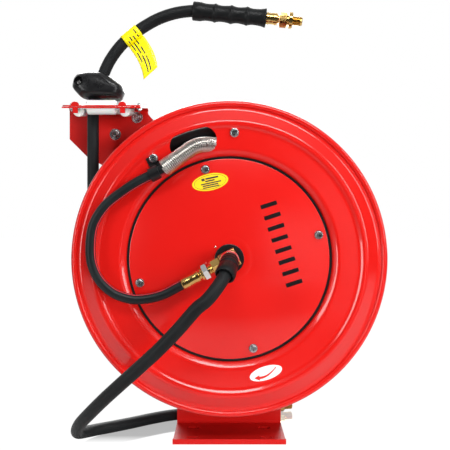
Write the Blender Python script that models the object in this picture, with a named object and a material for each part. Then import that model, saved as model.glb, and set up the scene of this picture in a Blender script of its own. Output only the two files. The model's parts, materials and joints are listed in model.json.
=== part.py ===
"""Spring-rewind air hose reel: every piece a separate solid, in metres, +Z up.

The origin is on the underside of the stand's foot, below the drum's axle.
+X is right, -Y is the front (the side with the swivel and the lead-in hose).
"""
from math import asin, ceil, cos, pi, radians, sin, tau

import bmesh
import bpy
from mathutils import Matrix, Vector

# ---- driving dimensions -------------------------------------------------------------
GAP = 0.0003               # between pieces that touch
AXLE_HEIGHT = 0.2714
MID_Y = -0.008             # the drum's middle plane
SHEET = 0.0016             # pressed steel of the drum
DRUM_STEPS = 40            # facets round the drum's large pieces
RIM_R = 0.2240             # centre of the rolled rim
RIM_WIRE_R = 0.0045
LIP_R = 0.1485             # flange's inner edge
COVER_R = 0.1450
COVER_Y = -0.0415          # front face of the front cover
STUD_RING_R = 0.134
STUD_ANGLES = (15, 105, 195, 285)
CORE_R = 0.1497
FLAT_Y = -0.0490           # front face of the flange's flat ring
SLOT_R = 0.1745
SLOT_ANGLES = (101.5, 113.0)
SLOT_HALF = 0.0162

SHAFT_R = 0.010
SHAFT_FRONT = -0.0440
STEM_R = 0.0062
BLOCK_HALF = 0.0125
BLOCK_FRONT = -0.0705
BLOCK_BACK = -0.0455
OUTLET_ANGLE = 208.0
OUTLET_Y = -0.0585
CLAMP_BOLT = (0.1805, 126.9)     # radius and angle about the axle
FLANGE_BOLT = (0.1815, 87.7)

HOSE_R = 0.00875           # main and lead-in hose, 3/8 inch bore
JUMPER_R = 0.0070

BOOT_STEPS = 27            # 2 mm steps of the lead-in hose that the boot covers

STAND_FRONT = 0.0450       # front face of the upright
STAND_THICK = 0.0040
FOOT_HALF = 0.083
FOOT_FRONT = -0.0345
FOOT_LIP_TOP = 0.0076      # the foot's front edge is folded up to this height
GUIDE_THICK = 0.0030

GUIDE_TILT = radians(12.0)
GUIDE_EDGE = Vector((0.0, -0.0370, 0.4929))
PLATE = 0.0020
ROLLER_R = 0.0107
SIDE_ROLLER_R = 0.0088
PIN_R = 0.0022
PIN_W = -0.0013            # height of the long rollers' pins in the guide's plane
SIDE_PIN_W = -0.0061       # the side rollers' pins pass below them
GUIDE_LEFT = -0.2440
GUIDE_RIGHT = -0.1300
WINDOW = (-0.2345, 0.0040, -0.1460, 0.0735)      # low x, low v, high x, high v
ROLLERS = {                # centre, axis, radius, length
    "roller_front": ((-0.18875, 0.0153, PIN_W), "X", ROLLER_R, 0.0421),
    "roller_rear": ((-0.18875, 0.0611, PIN_W), "X", ROLLER_R, 0.0421),
    "roller_left": ((-0.2250, 0.0382, SIDE_PIN_W), "Y", SIDE_ROLLER_R, 0.0380),
    "roller_right": ((-0.1559, 0.0382, SIDE_PIN_W), "Y", SIDE_ROLLER_R, 0.0380),
}
GUIDE_BOLTS = ((-0.1811, 0.4650), (-0.1464, 0.4918))
PLATE_BOLTS = ((-0.2392, 0.0382), (-0.1365, 0.0382))
LUG_HALF = 0.0036          # half the width of the lugs that hold the side rollers' pins
M6_HOLE_R = 0.0033
M8_HOLE_R = 0.0043
M4_HOLE_R = 0.0022
HEX = 12                   # facets round small bolts, so that six-sided rings keep their corners

RATCHET_TEETH = 12
RATCHET_R = 0.066
PAWL_PIVOT = Vector((0.0560, 0.0332, 0.3420))
PAWL_TIP_R = 0.0745
PAWL_TIP_ANGLE = 22.0

LEAD_IN_ROUTE = (
    (0.0000, -0.0776, 0.2714), (0.0000, -0.0920, 0.2710), (-0.0017, -0.1092, 0.2659),
    (-0.0069, -0.1268, 0.2546), (-0.0168, -0.1392, 0.2399), (-0.0300, -0.1448, 0.2246),
    (-0.0428, -0.1465, 0.2143), (-0.0662, -0.1455, 0.1876), (-0.0902, -0.1420, 0.1625),
    (-0.1151, -0.1370, 0.1390), (-0.1417, -0.1295, 0.1143), (-0.1646, -0.1190, 0.0922),
    (-0.1857, -0.1030, 0.0699), (-0.2040, -0.0830, 0.0490), (-0.2150, -0.0610, 0.0315),
    (-0.2190, -0.0375, 0.0185), (-0.2125, -0.0150, 0.0118), (-0.1975, 0.0010, 0.0096),
    (-0.1784, 0.0129, 0.0093), (-0.1518, 0.0295, 0.0093), (-0.1246, 0.0477, 0.0093),
    (-0.0953, 0.0637, 0.0093), (-0.0550, 0.0775, 0.0093), (-0.0180, 0.0880, 0.0093),
    (0.0200, 0.0975, 0.0093), (0.0580, 0.1060, 0.0093),
)
TAIL_ROUTE = (
    (-0.2009, 0.0, 0.5243), (-0.1915, 0.0, 0.5490), (-0.1795, 0.0, 0.5735),
    (-0.1609, 0.0, 0.5973), (-0.1358, 0.0, 0.6177), (-0.1085, 0.0, 0.6335),
    (-0.0820, 0.0, 0.6425), (-0.0561, 0.0, 0.6460), (-0.0455, 0.0, 0.6451),
)
RUN_ROUTE = (
    (-0.2070, 0.0, 0.2714), (-0.2070, 0.0, 0.3300), (-0.2070, 0.0, 0.3900),
    (-0.2070, 0.0, 0.4500), (-0.2068, 0.0, 0.4900), (-0.2052, 0.0, 0.5090),
    (-0.2020, 0.0, 0.5212),
)
JUMPER_ROUTE = (
    (-0.0946, -0.0612, 0.2218), (-0.1176, -0.0630, 0.2164), (-0.1390, -0.0640, 0.2164),
    (-0.1633, -0.0640, 0.2249), (-0.1831, -0.0640, 0.2432), (-0.1938, -0.0640, 0.2675),
    (-0.1954, -0.0640, 0.2951), (-0.1907, -0.0640, 0.3225), (-0.1740, -0.0640, 0.3484),
    (-0.1481, -0.0640, 0.3690), (-0.1267, -0.0640, 0.3825), (-0.1049, -0.0640, 0.3930),
    (-0.0945, -0.0640, 0.3986),
)
GUARD_ROUTE = (
    (-0.0925, -0.0640, 0.3998), (-0.0790, -0.0650, 0.4095), (-0.0620, -0.0635, 0.4220),
    (-0.0470, -0.0575, 0.4310), (-0.0370, -0.0480, 0.4360), (-0.0330, -0.0400, 0.4380),
)
GRIP_START = Vector((-0.0558, 0.0, 0.6461))
GRIP_AXIS = Vector((1.0, 0.0, -0.098)).normalized()
GRIP_LENGTH = 0.1115
STOP_CENTRE = Vector((-0.1976, 0.0, 0.5310))


# ---- materials ------------------------------------------------------------------------
def finish(name, colour, roughness, metallic=0.0):
    material = bpy.data.materials.new(name)
    material.use_nodes = True
    shader = material.node_tree.nodes["Principled BSDF"]
    shader.inputs["Base Color"].default_value = (*colour, 1.0)
    shader.inputs["Roughness"].default_value = roughness
    shader.inputs["Metallic"].default_value = metallic
    return material


def finishes():
    return {
        "red": ((0.58, 0.012, 0.010), 0.28, 0.0),
        "zinc": ((0.75, 0.76, 0.78), 0.25, 1.0),
        "steel": ((0.42, 0.42, 0.43), 0.40, 1.0),
        "brass": ((0.72, 0.47, 0.16), 0.25, 1.0),
        "rubber": ((0.012, 0.012, 0.014), 0.55, 0.0),
        "black_plastic": ((0.018, 0.018, 0.020), 0.35, 0.0),
        "nylon": ((0.85, 0.85, 0.83), 0.40, 0.0),
        "yellow": ((0.90, 0.72, 0.02), 0.45, 0.0),
        "white": ((0.88, 0.88, 0.86), 0.40, 0.0),
        "bronze": ((0.50, 0.32, 0.15), 0.35, 1.0),
    }


# ---- general shape tools ----------------------------------------------------------------
def clear_scene():
    for thing in list(bpy.data.objects):
        bpy.data.objects.remove(thing, do_unlink=True)


def new_object(name, mesh_builder, material=None, place=None):
    """Turn a filled bmesh into an object with outward faces, standing at place."""
    bmesh.ops.recalc_face_normals(mesh_builder, faces=mesh_builder.faces)
    mesh = bpy.data.meshes.new(name)
    mesh_builder.to_mesh(mesh)
    mesh_builder.free()
    thing = bpy.data.objects.new(name, mesh)
    bpy.context.scene.collection.objects.link(thing)
    if place is not None:
        thing.matrix_world = place
    if material:
        thing.data.materials.append(material)
        mesh.shade_smooth()
        mesh.set_sharp_from_angle(angle=radians(32))
    return thing


def place_along(origin, direction, up=(0.0, 0.0, 1.0)):
    """A frame at origin whose local Z runs along direction."""
    z_axis = Vector(direction).normalized()
    side = Vector(up).cross(z_axis)
    if side.length < 1e-6:
        side = Vector((1.0, 0.0, 0.0))
    x_axis = side.normalized()
    y_axis = z_axis.cross(x_axis)
    turn = Matrix((x_axis, y_axis, z_axis)).transposed().to_4x4()
    return Matrix.Translation(Vector(origin)) @ turn


def axle_place(x=0.0, z=AXLE_HEIGHT):
    """Local Z along world +Y, through the given point of the drum's plane."""
    return Matrix.Translation((x, 0.0, z)) @ Matrix.Rotation(-pi / 2, 4, "X")


def hexagon_radius(half_flats, angle):
    return half_flats / cos((angle + pi / 6) % (pi / 3) - pi / 6)


def add_turned(bm, profile, steps, hex_points=(), centre=(0.0, 0.0)):
    """Turn (radius, height) points about local Z; listed points are six-sided."""
    closed = all(radius > 0 for radius, _ in profile)
    rings = []
    for index, (radius, height) in enumerate(profile):
        if radius == 0:
            rings.append([bm.verts.new((centre[0], centre[1], height))])
            continue
        ring = []
        for step in range(steps):
            angle = tau * step / steps
            r = hexagon_radius(radius, angle) if index in hex_points else radius
            ring.append(bm.verts.new((centre[0] + r * cos(angle), centre[1] + r * sin(angle), height)))
        rings.append(ring)
    pairs = list(zip(rings, rings[1:]))
    if closed:
        pairs.append((rings[-1], rings[0]))
    for lower, upper in pairs:
        for step in range(steps):
            after = (step + 1) % steps
            loop = [lower[step % len(lower)], lower[after % len(lower)],
                    upper[after % len(upper)], upper[step % len(upper)]]
            corners = list(dict.fromkeys(loop))
            if len(corners) > 2:
                bm.faces.new(corners)


def turned(name, profile, material, place, steps=32, hex_points=()):
    bm = bmesh.new()
    add_turned(bm, profile, steps, hex_points)
    return new_object(name, bm, material, place)


def turned_set(name, profile, material, places, steps=12, hex_points=()):
    """Identical pieces, one node each, numbered from 1."""
    for index, place in enumerate(places):
        turned(f"{name}_{index + 1}", profile, material, place, steps, hex_points)


def add_prism(bm, outline, low, high):
    """Extrude an (a, b) outline from low to high along local Z."""
    bottom = [bm.verts.new((a, b, low)) for a, b in outline]
    face = bm.faces.new(bottom)
    moved = bmesh.ops.extrude_face_region(bm, geom=[face])
    risen = [item for item in moved["geom"] if isinstance(item, bmesh.types.BMVert)]
    bmesh.ops.translate(bm, verts=risen, vec=(0.0, 0.0, high - low))


def prism(name, outline, low, high, material=None, place=None):
    bm = bmesh.new()
    add_prism(bm, outline, low, high)
    return new_object(name, bm, material, place or Matrix())


def box_outline(low_a, low_b, high_a, high_b):
    return [(low_a, low_b), (high_a, low_b), (high_a, high_b), (low_a, high_b)]


def round_outline(centre_a, centre_b, half_a, half_b, tilt=0.0, steps=28):
    points = []
    for step in range(steps):
        angle = tau * step / steps
        a, b = half_a * cos(angle), half_b * sin(angle)
        points.append((centre_a + a * cos(tilt) - b * sin(tilt), centre_b + a * sin(tilt) + b * cos(tilt)))
    return points


def facing_front():
    """Local (a, b, c) stands for world (X, Z, -Y): outlines are drawn as seen from the front."""
    return Matrix(((1, 0, 0, 0), (0, 0, -1, 0), (0, 1, 0, 0), (0, 0, 0, 1)))


def sheet_xz(name, outline, front_y, back_y, material=None):
    return prism(name, outline, -back_y, -front_y, material, facing_front())


def as_cutter(thing):
    thing.hide_render = True
    thing.display_type = "WIRE"
    return thing


def combine(thing, other, operation):
    as_cutter(other)
    step = thing.modifiers.new(operation.lower() + "_" + other.name, "BOOLEAN")
    step.operation = operation
    step.object = other
    step.solver = "EXACT"


def cut(thing, other):
    combine(thing, other, "DIFFERENCE")


def pin_cutter(name, place, radius, low, high, steps=24):
    return turned(name, [(0, low), (radius, low), (radius, high), (0, high)], None, place, steps)


def smooth_route(route, spacing):
    """Points every spacing along a smooth curve through the route's own points."""
    points = [Vector(p) for p in route]
    points = [2 * points[0] - points[1]] + points + [2 * points[-1] - points[-2]]
    fine = []
    for p0, p1, p2, p3 in zip(points, points[1:], points[2:], points[3:]):
        for step in range(24):
            t = step / 24
            fine.append(0.5 * (2 * p1 + (p2 - p0) * t + (2 * p0 - 5 * p1 + 4 * p2 - p3) * t ** 2
                               + (3 * p1 - p0 - 3 * p2 + p3) * t ** 3))
    fine.append(points[-2])
    lengths = [0.0]
    for before, after in zip(fine, fine[1:]):
        lengths.append(lengths[-1] + (after - before).length)
    count = ceil(lengths[-1] / spacing)
    result = []
    index = 0
    for step in range(count + 1):
        wanted = lengths[-1] * step / count
        while index < len(fine) - 2 and lengths[index + 1] < wanted:
            index += 1
        span = lengths[index + 1] - lengths[index]
        result.append(fine[index].lerp(fine[index + 1], (wanted - lengths[index]) / span))
    return result


def hose(name, route, radius, material, spacing, sides=3, radii=None):
    """A round tube with filled ends along a smooth route."""
    points = smooth_route(route, spacing)
    curve = bpy.data.curves.new(name, "CURVE")
    curve.dimensions = "3D"
    curve.bevel_depth = radius
    curve.bevel_resolution = sides
    curve.use_fill_caps = True
    spline = curve.splines.new("POLY")
    spline.points.add(len(points) - 1)
    for index, point in enumerate(points):
        spline.points[index].co = (*point, 1.0)
        if radii:
            spline.points[index].radius = radii(index / (len(points) - 1))
    curve.materials.append(material)
    thing = bpy.data.objects.new(name, curve)
    bpy.context.scene.collection.objects.link(thing)
    return thing


def polar(radius, angle):
    """World X and Z of a point about the drum's axle, as seen from the front."""
    return radius * cos(radians(angle)), AXLE_HEIGHT + radius * sin(radians(angle))


def ring_profile(inner, outer, low, high):
    return [(inner, low), (outer, low), (outer, high), (inner, high)]


def nut_profile(bore, half_flats, washer, low, high):
    """A nut on its washer, low at the seat; points 2, 3 and 4 are the hexagon's."""
    seat = low + (high - low) * 0.2
    return [(bore, low), (washer, low), (washer, seat), (half_flats, seat), (half_flats, high), (bore, high)]


# ---- stand ------------------------------------------------------------------------------
def bent_sheet(name, centre_line, thickness, low_x, high_x):
    """A bent plate: its (y, z) line is the face on its left, thickened to the right."""
    other = []
    for index, point in enumerate(centre_line):
        before = centre_line[max(index - 1, 0)]
        after = centre_line[min(index + 1, len(centre_line) - 1)]
        ahead = Vector((after[0] - before[0], after[1] - before[1])).normalized()
        other.append((point[0] + thickness * ahead[1], point[1] - thickness * ahead[0]))
    place = Matrix(((0, 0, 1, 0), (1, 0, 0, 0), (0, 1, 0, 0), (0, 0, 0, 1)))
    return prism(name, list(centre_line) + other[::-1], low_x, high_x, None, place)


def stand(material):
    inside_r = 0.004
    bend = [(STAND_FRONT - inside_r + inside_r * sin(a), STAND_THICK + inside_r - inside_r * cos(a))
            for a in (0, pi / 8, pi / 4, 3 * pi / 8, pi / 2)]
    line = [(FOOT_FRONT, STAND_THICK)] + bend + [(STAND_FRONT, 0.53)]
    piece = bent_sheet("stand", line, STAND_THICK, -0.22, 0.10)
    piece.data.materials.append(material)
    outline = [(-FOOT_HALF, -0.01), (FOOT_HALF, -0.01), (FOOT_HALF, 0.060), (0.052, 0.190), (0.052, 0.3156),
               (-0.1247, 0.4923), (-0.1340, 0.5045), (-0.1354, 0.5130), (-0.1425, 0.5075), (-0.1640, 0.5075),
               (-0.2040, 0.4680), (-0.052, 0.3160), (-0.052, 0.190), (-FOOT_HALF, 0.060)]
    shape = sheet_xz("stand_outline", outline, FOOT_FRONT - 0.01, 0.08)
    combine(piece, shape, "INTERSECT")
    lip = box_outline(-FOOT_HALF, FOOT_FRONT, FOOT_HALF, FOOT_FRONT + 0.003)
    combine(piece, prism("foot_lip", lip, 0.002, FOOT_LIP_TOP), "UNION")
    cut(piece, pin_cutter("axle_hole", axle_place(), SHAFT_R + GAP, 0.03, 0.07))
    for side in (-1, 1):
        for row, y in enumerate((-0.018, 0.022)):
            slot = [(side * 0.055 + 0.0045 * cos(a) + (0.005 if cos(a) > 0 else -0.005), y + 0.0045 * sin(a))
                    for a in [tau * (k + 0.5) / 12 for k in range(12)]]
            cut(piece, prism(f"foot_slot_{side}_{row}", slot, -0.02, 0.02))
    for index, (x, z) in enumerate(GUIDE_BOLTS):
        cut(piece, pin_cutter(f"stand_bolt_hole_{index}", axle_place(x, z), M8_HOLE_R, 0.03, 0.07, HEX))
    pivot = axle_place(PAWL_PIVOT.x, PAWL_PIVOT.z)
    cut(piece, pin_cutter("stand_pawl_hole", pivot, M6_HOLE_R, 0.03, 0.07, HEX))
    return piece


# ---- hose guide -----------------------------------------------------------------------------
def guide_place(x=0.0, v=0.0, w=0.0):
    """The tilted frame of the roller guide: local X right, Y back along it, Z out of it."""
    tilted = Matrix.Translation(GUIDE_EDGE) @ Matrix.Rotation(GUIDE_TILT, 4, "X")
    return tilted @ Matrix.Translation((x, v, w))


def pin_reach(way):
    """Half a roller pin's length: its ends lie in seats just past the window's edges."""
    return 0.0480 if way == "X" else 0.0372


def roller_place(name):
    (x, v, w), way, _, _ = ROLLERS[name]
    turn = Matrix.Rotation(pi / 2, 4, "Y") if way == "X" else Matrix.Rotation(-pi / 2, 4, "X")
    return guide_place(x, v, w) @ turn


def cut_roller_seats(piece, prefix):
    """The rollers' window and the seats for the ends of their pins."""
    cut(piece, prism(prefix + "_window", box_outline(*WINDOW), -0.02, 0.02, None, guide_place()))
    for name, (_, way, _, _) in ROLLERS.items():
        reach = pin_reach(way)
        seat_r, seat_reach = PIN_R + GAP, reach + GAP
        seat = pin_cutter(f"{prefix}_{name}_seat", roller_place(name), seat_r, -seat_reach, seat_reach, 12)
        cut(piece, seat)


def guide_arm(material):
    """A bent plate: an upright leaf bolted to the stand and a tilted leaf under the rollers."""
    front_face = STAND_FRONT - GAP - GUIDE_THICK
    slope = Vector((cos(GUIDE_TILT), sin(GUIDE_TILT)))
    start = Vector((GUIDE_EDGE.y, GUIDE_EDGE.z)) + Vector((-sin(GUIDE_TILT), cos(GUIDE_TILT))) * -GAP
    run = (front_face - 0.004 - start.x) / slope.x
    knee = start + slope * run
    line = [(front_face, 0.36), (front_face, knee.y - 0.004), (front_face - 0.0012, knee.y - 0.0012),
            (knee.x, knee.y), (start.x, start.y)]
    piece = bent_guide_sheet("guide_arm", line)
    piece.data.materials.append(material)
    outline = [(-0.2543, 0.56), (-0.2543, 0.4573), (-0.2269, 0.4299), (-0.1850, 0.4060), (-0.1150, 0.4060),
               (-0.1150, 0.4750), (-0.1290, 0.4900), (-0.1290, 0.56)]
    combine(piece, sheet_xz("guide_outline", outline, -0.08, 0.08), "INTERSECT")
    cut(piece, prism("guide_trim", box_outline(-0.27, -0.06, GUIDE_LEFT, 0.036), 0.40, 0.60))
    for side in ("left", "right"):
        x = ROLLERS["roller_" + side][0][0]
        for end, low_v in (("near", 0.0003), ("far", 0.0740)):
            outline = box_outline(x - LUG_HALF, low_v, x + LUG_HALF, low_v + 0.0035)
            lug = prism(f"guide_lug_{side}_{end}", outline, -0.0095, -0.0015, None, guide_place())
            combine(piece, lug, "UNION")
    cut_roller_seats(piece, "guide")
    cut_guide_holes(piece, "guide")
    for index, (x, z) in enumerate(GUIDE_BOLTS):
        cut(piece, pin_cutter(f"guide_bolt_hole_{index}", axle_place(x, z), M8_HOLE_R, 0.03, 0.07, HEX))
    return piece


def bent_guide_sheet(name, line):
    """Close the guide's bent line into a plate: thicker upright leaf, thinner tilted leaf."""
    slope_normal = Vector((-sin(GUIDE_TILT), cos(GUIDE_TILT)))
    (y0, z0), (y1, z1), (y2, z2), (y3, z3), (y4, z4) = line
    lower = slope_normal * -PLATE
    outline = [(y4, z4), (y4 + lower.x, z4 + lower.y), (y3 + lower.x - 0.001, z3 + lower.y - 0.0002),
               (y1, z1 - 0.002), (y0, z0), (y0 + GUIDE_THICK, z0), (y1 + GUIDE_THICK, z1),
               (y2 + GUIDE_THICK * 0.8, z2 + 0.0012), (y3, z3)]
    place = Matrix(((0, 0, 1, 0), (1, 0, 0, 0), (0, 1, 0, 0), (0, 0, 0, 1)))
    return prism(name, outline, -0.27, -0.11, None, place)


def cut_guide_holes(piece, prefix):
    for index, (x, v) in enumerate(PLATE_BOLTS):
        hole = pin_cutter(f"{prefix}_plate_hole_{index}", guide_place(x, v), M4_HOLE_R, -0.02, 0.02, HEX)
        cut(piece, hole)


def roller_plate(material):
    corner, depth = 0.005, 0.0745
    outline = [(GUIDE_LEFT, corner), (GUIDE_LEFT + corner, 0.0), (GUIDE_RIGHT - corner, 0.0),
               (GUIDE_RIGHT, corner), (GUIDE_RIGHT, depth), (GUIDE_LEFT, depth)]
    piece = prism("roller_plate", outline, 0.0, PLATE, material, guide_place())
    for side in ("left", "right"):
        x = ROLLERS["roller_" + side][0][0]
        lug = [(x + 0.006 * cos(a), 0.0016 + 0.0055 * sin(a)) for a in [pi * k / 8 for k in range(9)]]
        place = guide_place() @ Matrix(((1, 0, 0, 0), (0, 0, -1, 0), (0, 1, 0, 0), (0, 0, 0, 1)))
        combine(piece, prism("lug_" + side, lug, -0.0037, -0.0004, None, place), "UNION")
    cut_roller_seats(piece, "plate")
    cut_guide_holes(piece, "plate")
    return piece


def rollers(materials):
    for name, (_, way, radius, length) in ROLLERS.items():
        half = length / 2
        edge = 0.0012
        bore = PIN_R + GAP
        profile = [(bore, -half), (radius - edge, -half), (radius, -half + edge), (radius, half - edge),
                   (radius - edge, half), (bore, half)]
        turned(name, profile, materials["nylon"], roller_place(name), 20)
        reach = pin_reach(way)
        pin = [(0, -reach), (PIN_R, -reach), (PIN_R, reach), (0, reach)]
        turned(name.replace("roller", "pin"), pin, materials["zinc"], roller_place(name), 10)


def guide_fasteners(materials):
    back = STAND_FRONT + STAND_THICK + GAP
    front = STAND_FRONT - GAP - GUIDE_THICK - GAP
    shank = 0.0040
    bolt = [(0, front - 0.0068), (0.0065, front - 0.0068), (0.0065, front - 0.0018),
            (0.0090, front - 0.0018), (0.0090, front), (shank, front), (shank, back), (0.0085, back),
            (0.0085, back + 0.0014), (0.0065, back + 0.0014), (0.0065, back + 0.0070),
            (shank, back + 0.0070), (shank, back + 0.0090), (0, back + 0.0090)]
    spots = [axle_place(x, z) for x, z in GUIDE_BOLTS]
    turned_set("guide_arm_bolt", bolt, materials["zinc"], spots, HEX, (1, 2, 9, 10))
    top = PLATE + GAP
    low = -(PLATE + GAP) - GAP
    shank = 0.0019
    bolt = [(0, top + 0.0034), (0.0034, top + 0.0034), (0.0034, top), (shank, top), (shank, low),
            (0.0036, low), (0.0036, low - 0.0030), (shank, low - 0.0030), (shank, low - 0.0045),
            (0, low - 0.0045)]
    spots = [guide_place(x, v) for x, v in PLATE_BOLTS]
    turned_set("plate_bolt", bolt, materials["zinc"], spots, HEX, (1, 2, 5, 6))


# ---- drum -------------------------------------------------------------------------------------
def flange_profile():
    """The pressed front flange: lip, flat ring, raised ridge, valley and rolled rim."""
    face = [(LIP_R, -0.0410), (0.1575, FLAT_Y), (0.1880, FLAT_Y), (0.1940, -0.0530), (0.1970, -0.0530),
            (0.2150, -0.0434), (0.2180, -0.0432)]
    half_open = asin(SHEET / 2 / RIM_WIRE_R)
    rim = []
    for step in range(8):
        angle = pi + half_open + (tau - 2 * half_open) * step / 7
        rim.append((RIM_R + RIM_WIRE_R * cos(angle), -0.0424 + RIM_WIRE_R * sin(angle)))
    back = [(0.2180, -0.0416), (0.2150, -0.0416), (0.1968, -0.0513), (0.1942, -0.0513),
            (0.1882, FLAT_Y + SHEET), (0.1574, FLAT_Y + SHEET), (LIP_R, -0.0390)]
    return face + rim + back


def arc_slot_outline():
    """The kidney-shaped slot that the spring guard dives through, seen from the front."""
    start, end = SLOT_ANGLES
    points = []
    for step in range(9):
        angle = start + (end - start) * step / 8
        points.append(polar(SLOT_R + SLOT_HALF, angle))
    points += cap(end, 1)
    for step in range(9):
        angle = end + (start - end) * step / 8
        points.append(polar(SLOT_R - SLOT_HALF, angle))
    points += cap(start, -1)
    return points


def cap(angle, way):
    centre = Vector(polar(SLOT_R, angle))
    points = []
    for step in range(1, 8):
        turn = radians(angle) + (0 if way > 0 else pi) + pi * step / 8
        points.append((centre.x + SLOT_HALF * cos(turn), centre.y + SLOT_HALF * sin(turn)))
    return points


def flanges(materials):
    profile = flange_profile()
    front = turned("front_flange", profile, materials["red"], axle_place(), DRUM_STEPS)
    cut(front, sheet_xz("arc_slot", arc_slot_outline(), -0.06, -0.035))
    for index, spot in enumerate((CLAMP_BOLT, FLANGE_BOLT)):
        place = axle_place(*polar(*spot))
        cut(front, pin_cutter(f"flange_hole_{index}", place, M6_HOLE_R, -0.06, -0.03, HEX))
    rear = [(radius, 2 * MID_Y - y) for radius, y in profile]
    turned("rear_flange", rear, materials["red"], axle_place(), DRUM_STEPS)


def covers(materials):
    hub = 0.0168
    front = turned("front_cover", ring_profile(hub, COVER_R, COVER_Y, COVER_Y + SHEET), materials["red"],
                   axle_place(), DRUM_STEPS)
    rear_y = 2 * MID_Y - COVER_Y
    rear = turned("rear_cover", ring_profile(hub, COVER_R, rear_y - SHEET, rear_y), materials["red"],
                  axle_place(), DRUM_STEPS)
    for index, angle in enumerate(STUD_ANGLES):
        place = axle_place(*polar(STUD_RING_R, angle))
        hole = pin_cutter(f"stud_hole_{index}", place, M6_HOLE_R, -0.06, 0.05, HEX)
        cut(front, hole)
        cut(rear, hole)
    turned("cover_seal", ring_profile(COVER_R + GAP, LIP_R - GAP, -0.0411, -0.0390), materials["rubber"],
           axle_place(), DRUM_STEPS)
    turned("drum_core", ring_profile(CORE_R - SHEET, CORE_R, -0.0386, 2 * MID_Y + 0.0386), materials["red"],
           axle_place(), DRUM_STEPS)
    spots = [axle_place(*polar(STUD_RING_R, angle)) for angle in STUD_ANGLES]
    front_y = COVER_Y - GAP
    shank = 0.0030
    bolt = [(0, front_y - 0.0065), (shank, front_y - 0.0065), (shank, front_y - 0.0055),
            (0.0048, front_y - 0.0055), (0.0048, front_y - 0.0010), (0.0064, front_y - 0.0010),
            (0.0064, front_y), (shank, front_y), (shank, rear_y + GAP), (0.0055, rear_y + GAP),
            (0.0055, rear_y + 0.0043), (0, rear_y + 0.0043)]
    turned_set("cover_bolt", bolt, materials["zinc"], spots, HEX, (3, 4, 9, 10))


def bushes(materials):
    rear_y = 2 * MID_Y - COVER_Y
    bore = SHAFT_R + GAP
    front = [(bore, COVER_Y + 0.0002), (0.0165, COVER_Y + 0.0002), (0.0165, COVER_Y + SHEET + GAP),
             (0.0240, COVER_Y + SHEET + GAP), (0.0240, COVER_Y + 0.0045), (0.0165, COVER_Y + 0.0045),
             (0.0165, COVER_Y + 0.0130), (bore, COVER_Y + 0.0130)]
    turned("front_bush", front, materials["bronze"], axle_place(), 24)
    rear = [(radius, rear_y + COVER_Y - y) for radius, y in front]
    turned("rear_bush", rear, materials["bronze"], axle_place(), 24)
    turned("hub_washer", ring_profile(SHAFT_R + 0.0006, 0.0214, COVER_Y - 0.0028, COVER_Y - GAP),
           materials["black_plastic"], axle_place(), 32)


def shaft(materials):
    back = STAND_FRONT + STAND_THICK
    collar = 0.0165
    profile = [(0, SHAFT_FRONT), (SHAFT_R, SHAFT_FRONT), (SHAFT_R, 0.0385), (collar, 0.0385),
               (collar, STAND_FRONT - GAP), (SHAFT_R, STAND_FRONT - GAP), (SHAFT_R, back + 0.0150),
               (0, back + 0.0150)]
    turned("main_shaft", profile, materials["steel"], axle_place(), 24)
    nut = nut_profile(SHAFT_R + GAP, 0.0150, 0.0185, back + GAP, back + 0.0126)
    turned("shaft_nut", nut, materials["zinc"], axle_place(), 24, (3, 4))
    turned("spring_arbor", ring_profile(SHAFT_R + GAP, 0.0210, -0.0240, 0.0080), materials["steel"],
           axle_place(), 24)


def power_spring(material):
    """A flat spiral strip from near the arbor out to a stud, its ends inside the drum."""
    inner_r, outer_r, turns, strip = 0.0260, 0.1290, 5.0, 0.0010
    count = int(turns * 18)
    sides = []
    for offset in (0.0, strip):
        side = []
        for step in range(count + 1):
            part = step / count
            radius = inner_r + (outer_r - inner_r) * part + offset
            angle = tau * turns * part
            side.append((radius * cos(angle), radius * sin(angle)))
        sides.append(side)
    outline = sides[0] + sides[1][::-1]
    bm = bmesh.new()
    low = [bm.verts.new((a, b, -0.020)) for a, b in outline]
    high = [bm.verts.new((a, b, 0.004)) for a, b in outline]
    total = len(outline)
    for index in range(total):
        after = (index + 1) % total
        bm.faces.new((low[index], low[after], high[after], high[index]))
    for ring in (low, high):
        for index in range(count):
            bm.faces.new((ring[index], ring[index + 1], ring[total - 2 - index], ring[total - 1 - index]))
    return new_object("power_spring", bm, material, axle_place())


def ratchet_ring(material):
    """The toothed ring on the rear cover."""
    rear_y = 2 * MID_Y - COVER_Y
    low, high = rear_y + 0.0006, rear_y + 0.0106
    points = []
    for tooth in range(RATCHET_TEETH):
        base = tau * tooth / RATCHET_TEETH + radians(4)
        for part, depth in ((0.0, 0.0), (0.55, 0.0), (0.60, 0.0075), (0.97, 0.0075)):
            angle = base + tau / RATCHET_TEETH * part
            points.append(((RATCHET_R - depth) * cos(angle), (RATCHET_R - depth) * sin(angle)))
    place = Matrix.Translation((0, 0, AXLE_HEIGHT)) @ facing_front()
    ring = prism("ratchet_ring", points, -high, -low, material, place)
    cut(ring, pin_cutter("ratchet_bore", axle_place(), 0.0290, 0.0, 0.06, 24))


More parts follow.
